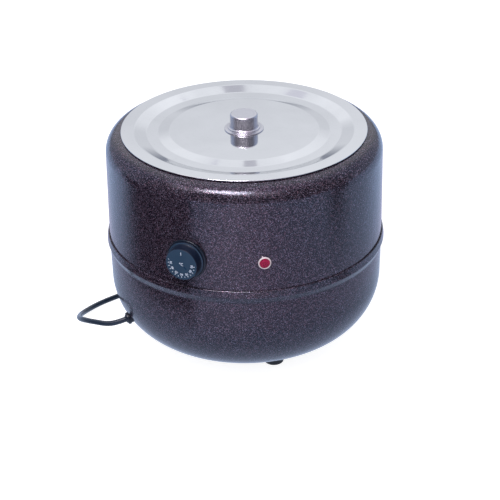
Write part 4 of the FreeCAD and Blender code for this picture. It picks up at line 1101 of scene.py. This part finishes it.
def makeWorld():
    # A white room. Gloss sees white behind the object and overhead, and dark in front above the table's edge.
    # A colour with two numbers comes in over the ones before it between those values of its measure.
    look = {
        "even": (0.9, 0.93, 1.0, 1), "evenStrength": 0.42,
        "low": (0.5, 0.46, 0.6, 1),
        "lowSides": ((0.13, 0.1, 0.16, 1), 0.28, 0.5),
        "dark": ((0.17, 0.17, 0.2, 1), 0.05, 0.16),
        "overFront": ((0.95, 0.74, 0.95, 1), 0.7, 0.96),
        "horizon": (0.28, 0.3, 0.36, 1),
        "lowRear": ((0.78, 0.8, 0.85, 1), 0.04, 0.18),
        "rear": ((1.0, 1.02, 1.07, 1), 0.36, 0.47),
        "highRear": ((1.2, 1.22, 1.27, 1), 0.55, 0.9),
        "sides": ((0.47, 0.54, 0.72, 1), 0.42, 0.7),
        "over": ((0.93, 0.95, 1.06, 1), 0.92, 0.99),
        "patches": 4.2, "patchEdge": (0.4, 0.6, 1.0, 0.0), "patchHeight": (0.5, 0.9, 0.05, 0.2),
        "split": (-0.12, 0.2),
    }
    world = bpy.data.worlds.new("studio")
    scene.world = world
    world.use_nodes = True
    tree = world.node_tree
    tree.nodes.clear()
    seen, glossy = seenRays(tree)
    direction = addNode(tree, "ShaderNodeTexCoord").outputs["Generated"]
    height = addNode(tree, "ShaderNodeSeparateXYZ", {"Vector": direction}).outputs["Z"]
    behind = lengthAlong(tree, direction, fromPhoto(0, 1, 0))
    aside = calc(tree, "ABSOLUTE", lengthAlong(tree, direction, fromPhoto(1, 0, 0)))
    patches = remap(tree, noise(tree, direction, look["patches"], Detail=1.5), *look["patchEdge"])
    dull = times(tree, patches, remap(tree, height, *look["patchHeight"]))
    front = layColour(tree, look["low"], aside, *look["lowSides"])
    front = layColour(tree, front, height, *look["dark"])
    front = layColour(tree, front, height, *look["overFront"])
    rear = look["horizon"]
    for name in ("lowRear", "rear", "highRear"):
        rear = layColour(tree, rear, height, *look[name])
    rear = mixColours(tree, dull, rear, look["horizon"])
    rear = layColour(tree, rear, aside, *look["sides"])
    rear = layColour(tree, rear, height, *look["over"])
    room = layColour(tree, front, behind, rear, *look["split"])
    mirrored = addNode(tree, "ShaderNodeBackground", {"Color": room})
    even = addNode(tree, "ShaderNodeBackground", {"Color": look["even"], "Strength": look["evenStrength"]})
    white = addNode(tree, "ShaderNodeBackground", {"Color": (1, 1, 1, 1)})
    whole = mixShaders(tree, seen, mixShaders(tree, glossy, even, mirrored), white)
    addNode(tree, "ShaderNodeOutputWorld", {"Surface": whole.outputs[0]})


# Lamps: place in the photo's metres, height of the target on the axis, size, power, colour, seen in gloss
lamps = {
    "keyLamp": ((-0.30, -0.78, 1.58), 0.27, (0.7, 0.42), 18, (1, 0.93, 0.97), True),
    "broadLamp": ((-0.35, -0.85, 1.56), 0.27, (2.2, 0.6), 7, (1, 0.86, 0.93), True),
    "frontLamp": ((-0.5, -1.3, 1.1), 0.2, (1.2, 0.7), 6, (0.95, 0.97, 1), False),
    "fillLamp": ((1.5, -0.3, 1.3), 0.2, (1.2, 1.2), 3, (0.9, 0.95, 1), False),
}


def makeLamp(name, place, target, size, power, colour, inGloss):
    data = bpy.data.lights.new(name, "AREA")
    data.shape = "RECTANGLE"
    data.size, data.size_y = size
    data.energy = power
    data.color = colour
    lamp = bpy.data.objects.new(name, data)
    scene.collection.objects.link(lamp)
    lamp.location = fromPhoto(*place)
    lamp.rotation_mode = "QUATERNION"
    lamp.rotation_quaternion = (lamp.location - Vector((0, 0, target))).to_track_quat("Z", "Y")
    lamp.visible_glossy = inGloss


# Ceiling cards: left and right end in the photo's metres, and brightness
cards = {
    "patches": ((-0.005, 0.09, 0.62), (-0.36, -0.20, 0.8), (0.27, 0.44, 0.8)),
    "depth": (0.7, 1.6), "height": 2.0, "widening": 1.2, "blue": 1.12,
}


def makeCard(left, right, level):
    # a card that only gloss sees, as a photographer would hang one
    near, far = cards["depth"]
    wide, height = cards["widening"], cards["height"]
    ends = [(left, near), (right, near), (right * wide, far), (left * wide, far)]
    corners = [tuple(fromPhoto(x, y, height)) for x, y in ends]
    tree = startMaterial("ceilingPatch")
    glow = addNode(tree, "ShaderNodeEmission", {"Color": (level, level, level * cards["blue"], 1)})
    addNode(tree, "ShaderNodeOutputMaterial", {"Surface": glow.outputs[0]})
    card = linkMesh("ceilingPatch", corners, [(0, 1, 2, 3)], "ceilingPatch")
    for rays in ("camera", "diffuse", "shadow", "transmission"):
        setattr(card, "visible_" + rays, False)


makeFloor()
makeWorld()
for name, values in lamps.items():
    makeLamp(name, *values)
for patch in cards["patches"]:
    makeCard(*patch)
scene.view_settings.view_transform = "Standard"
print("stage made")

bpy.context.view_layer.update()
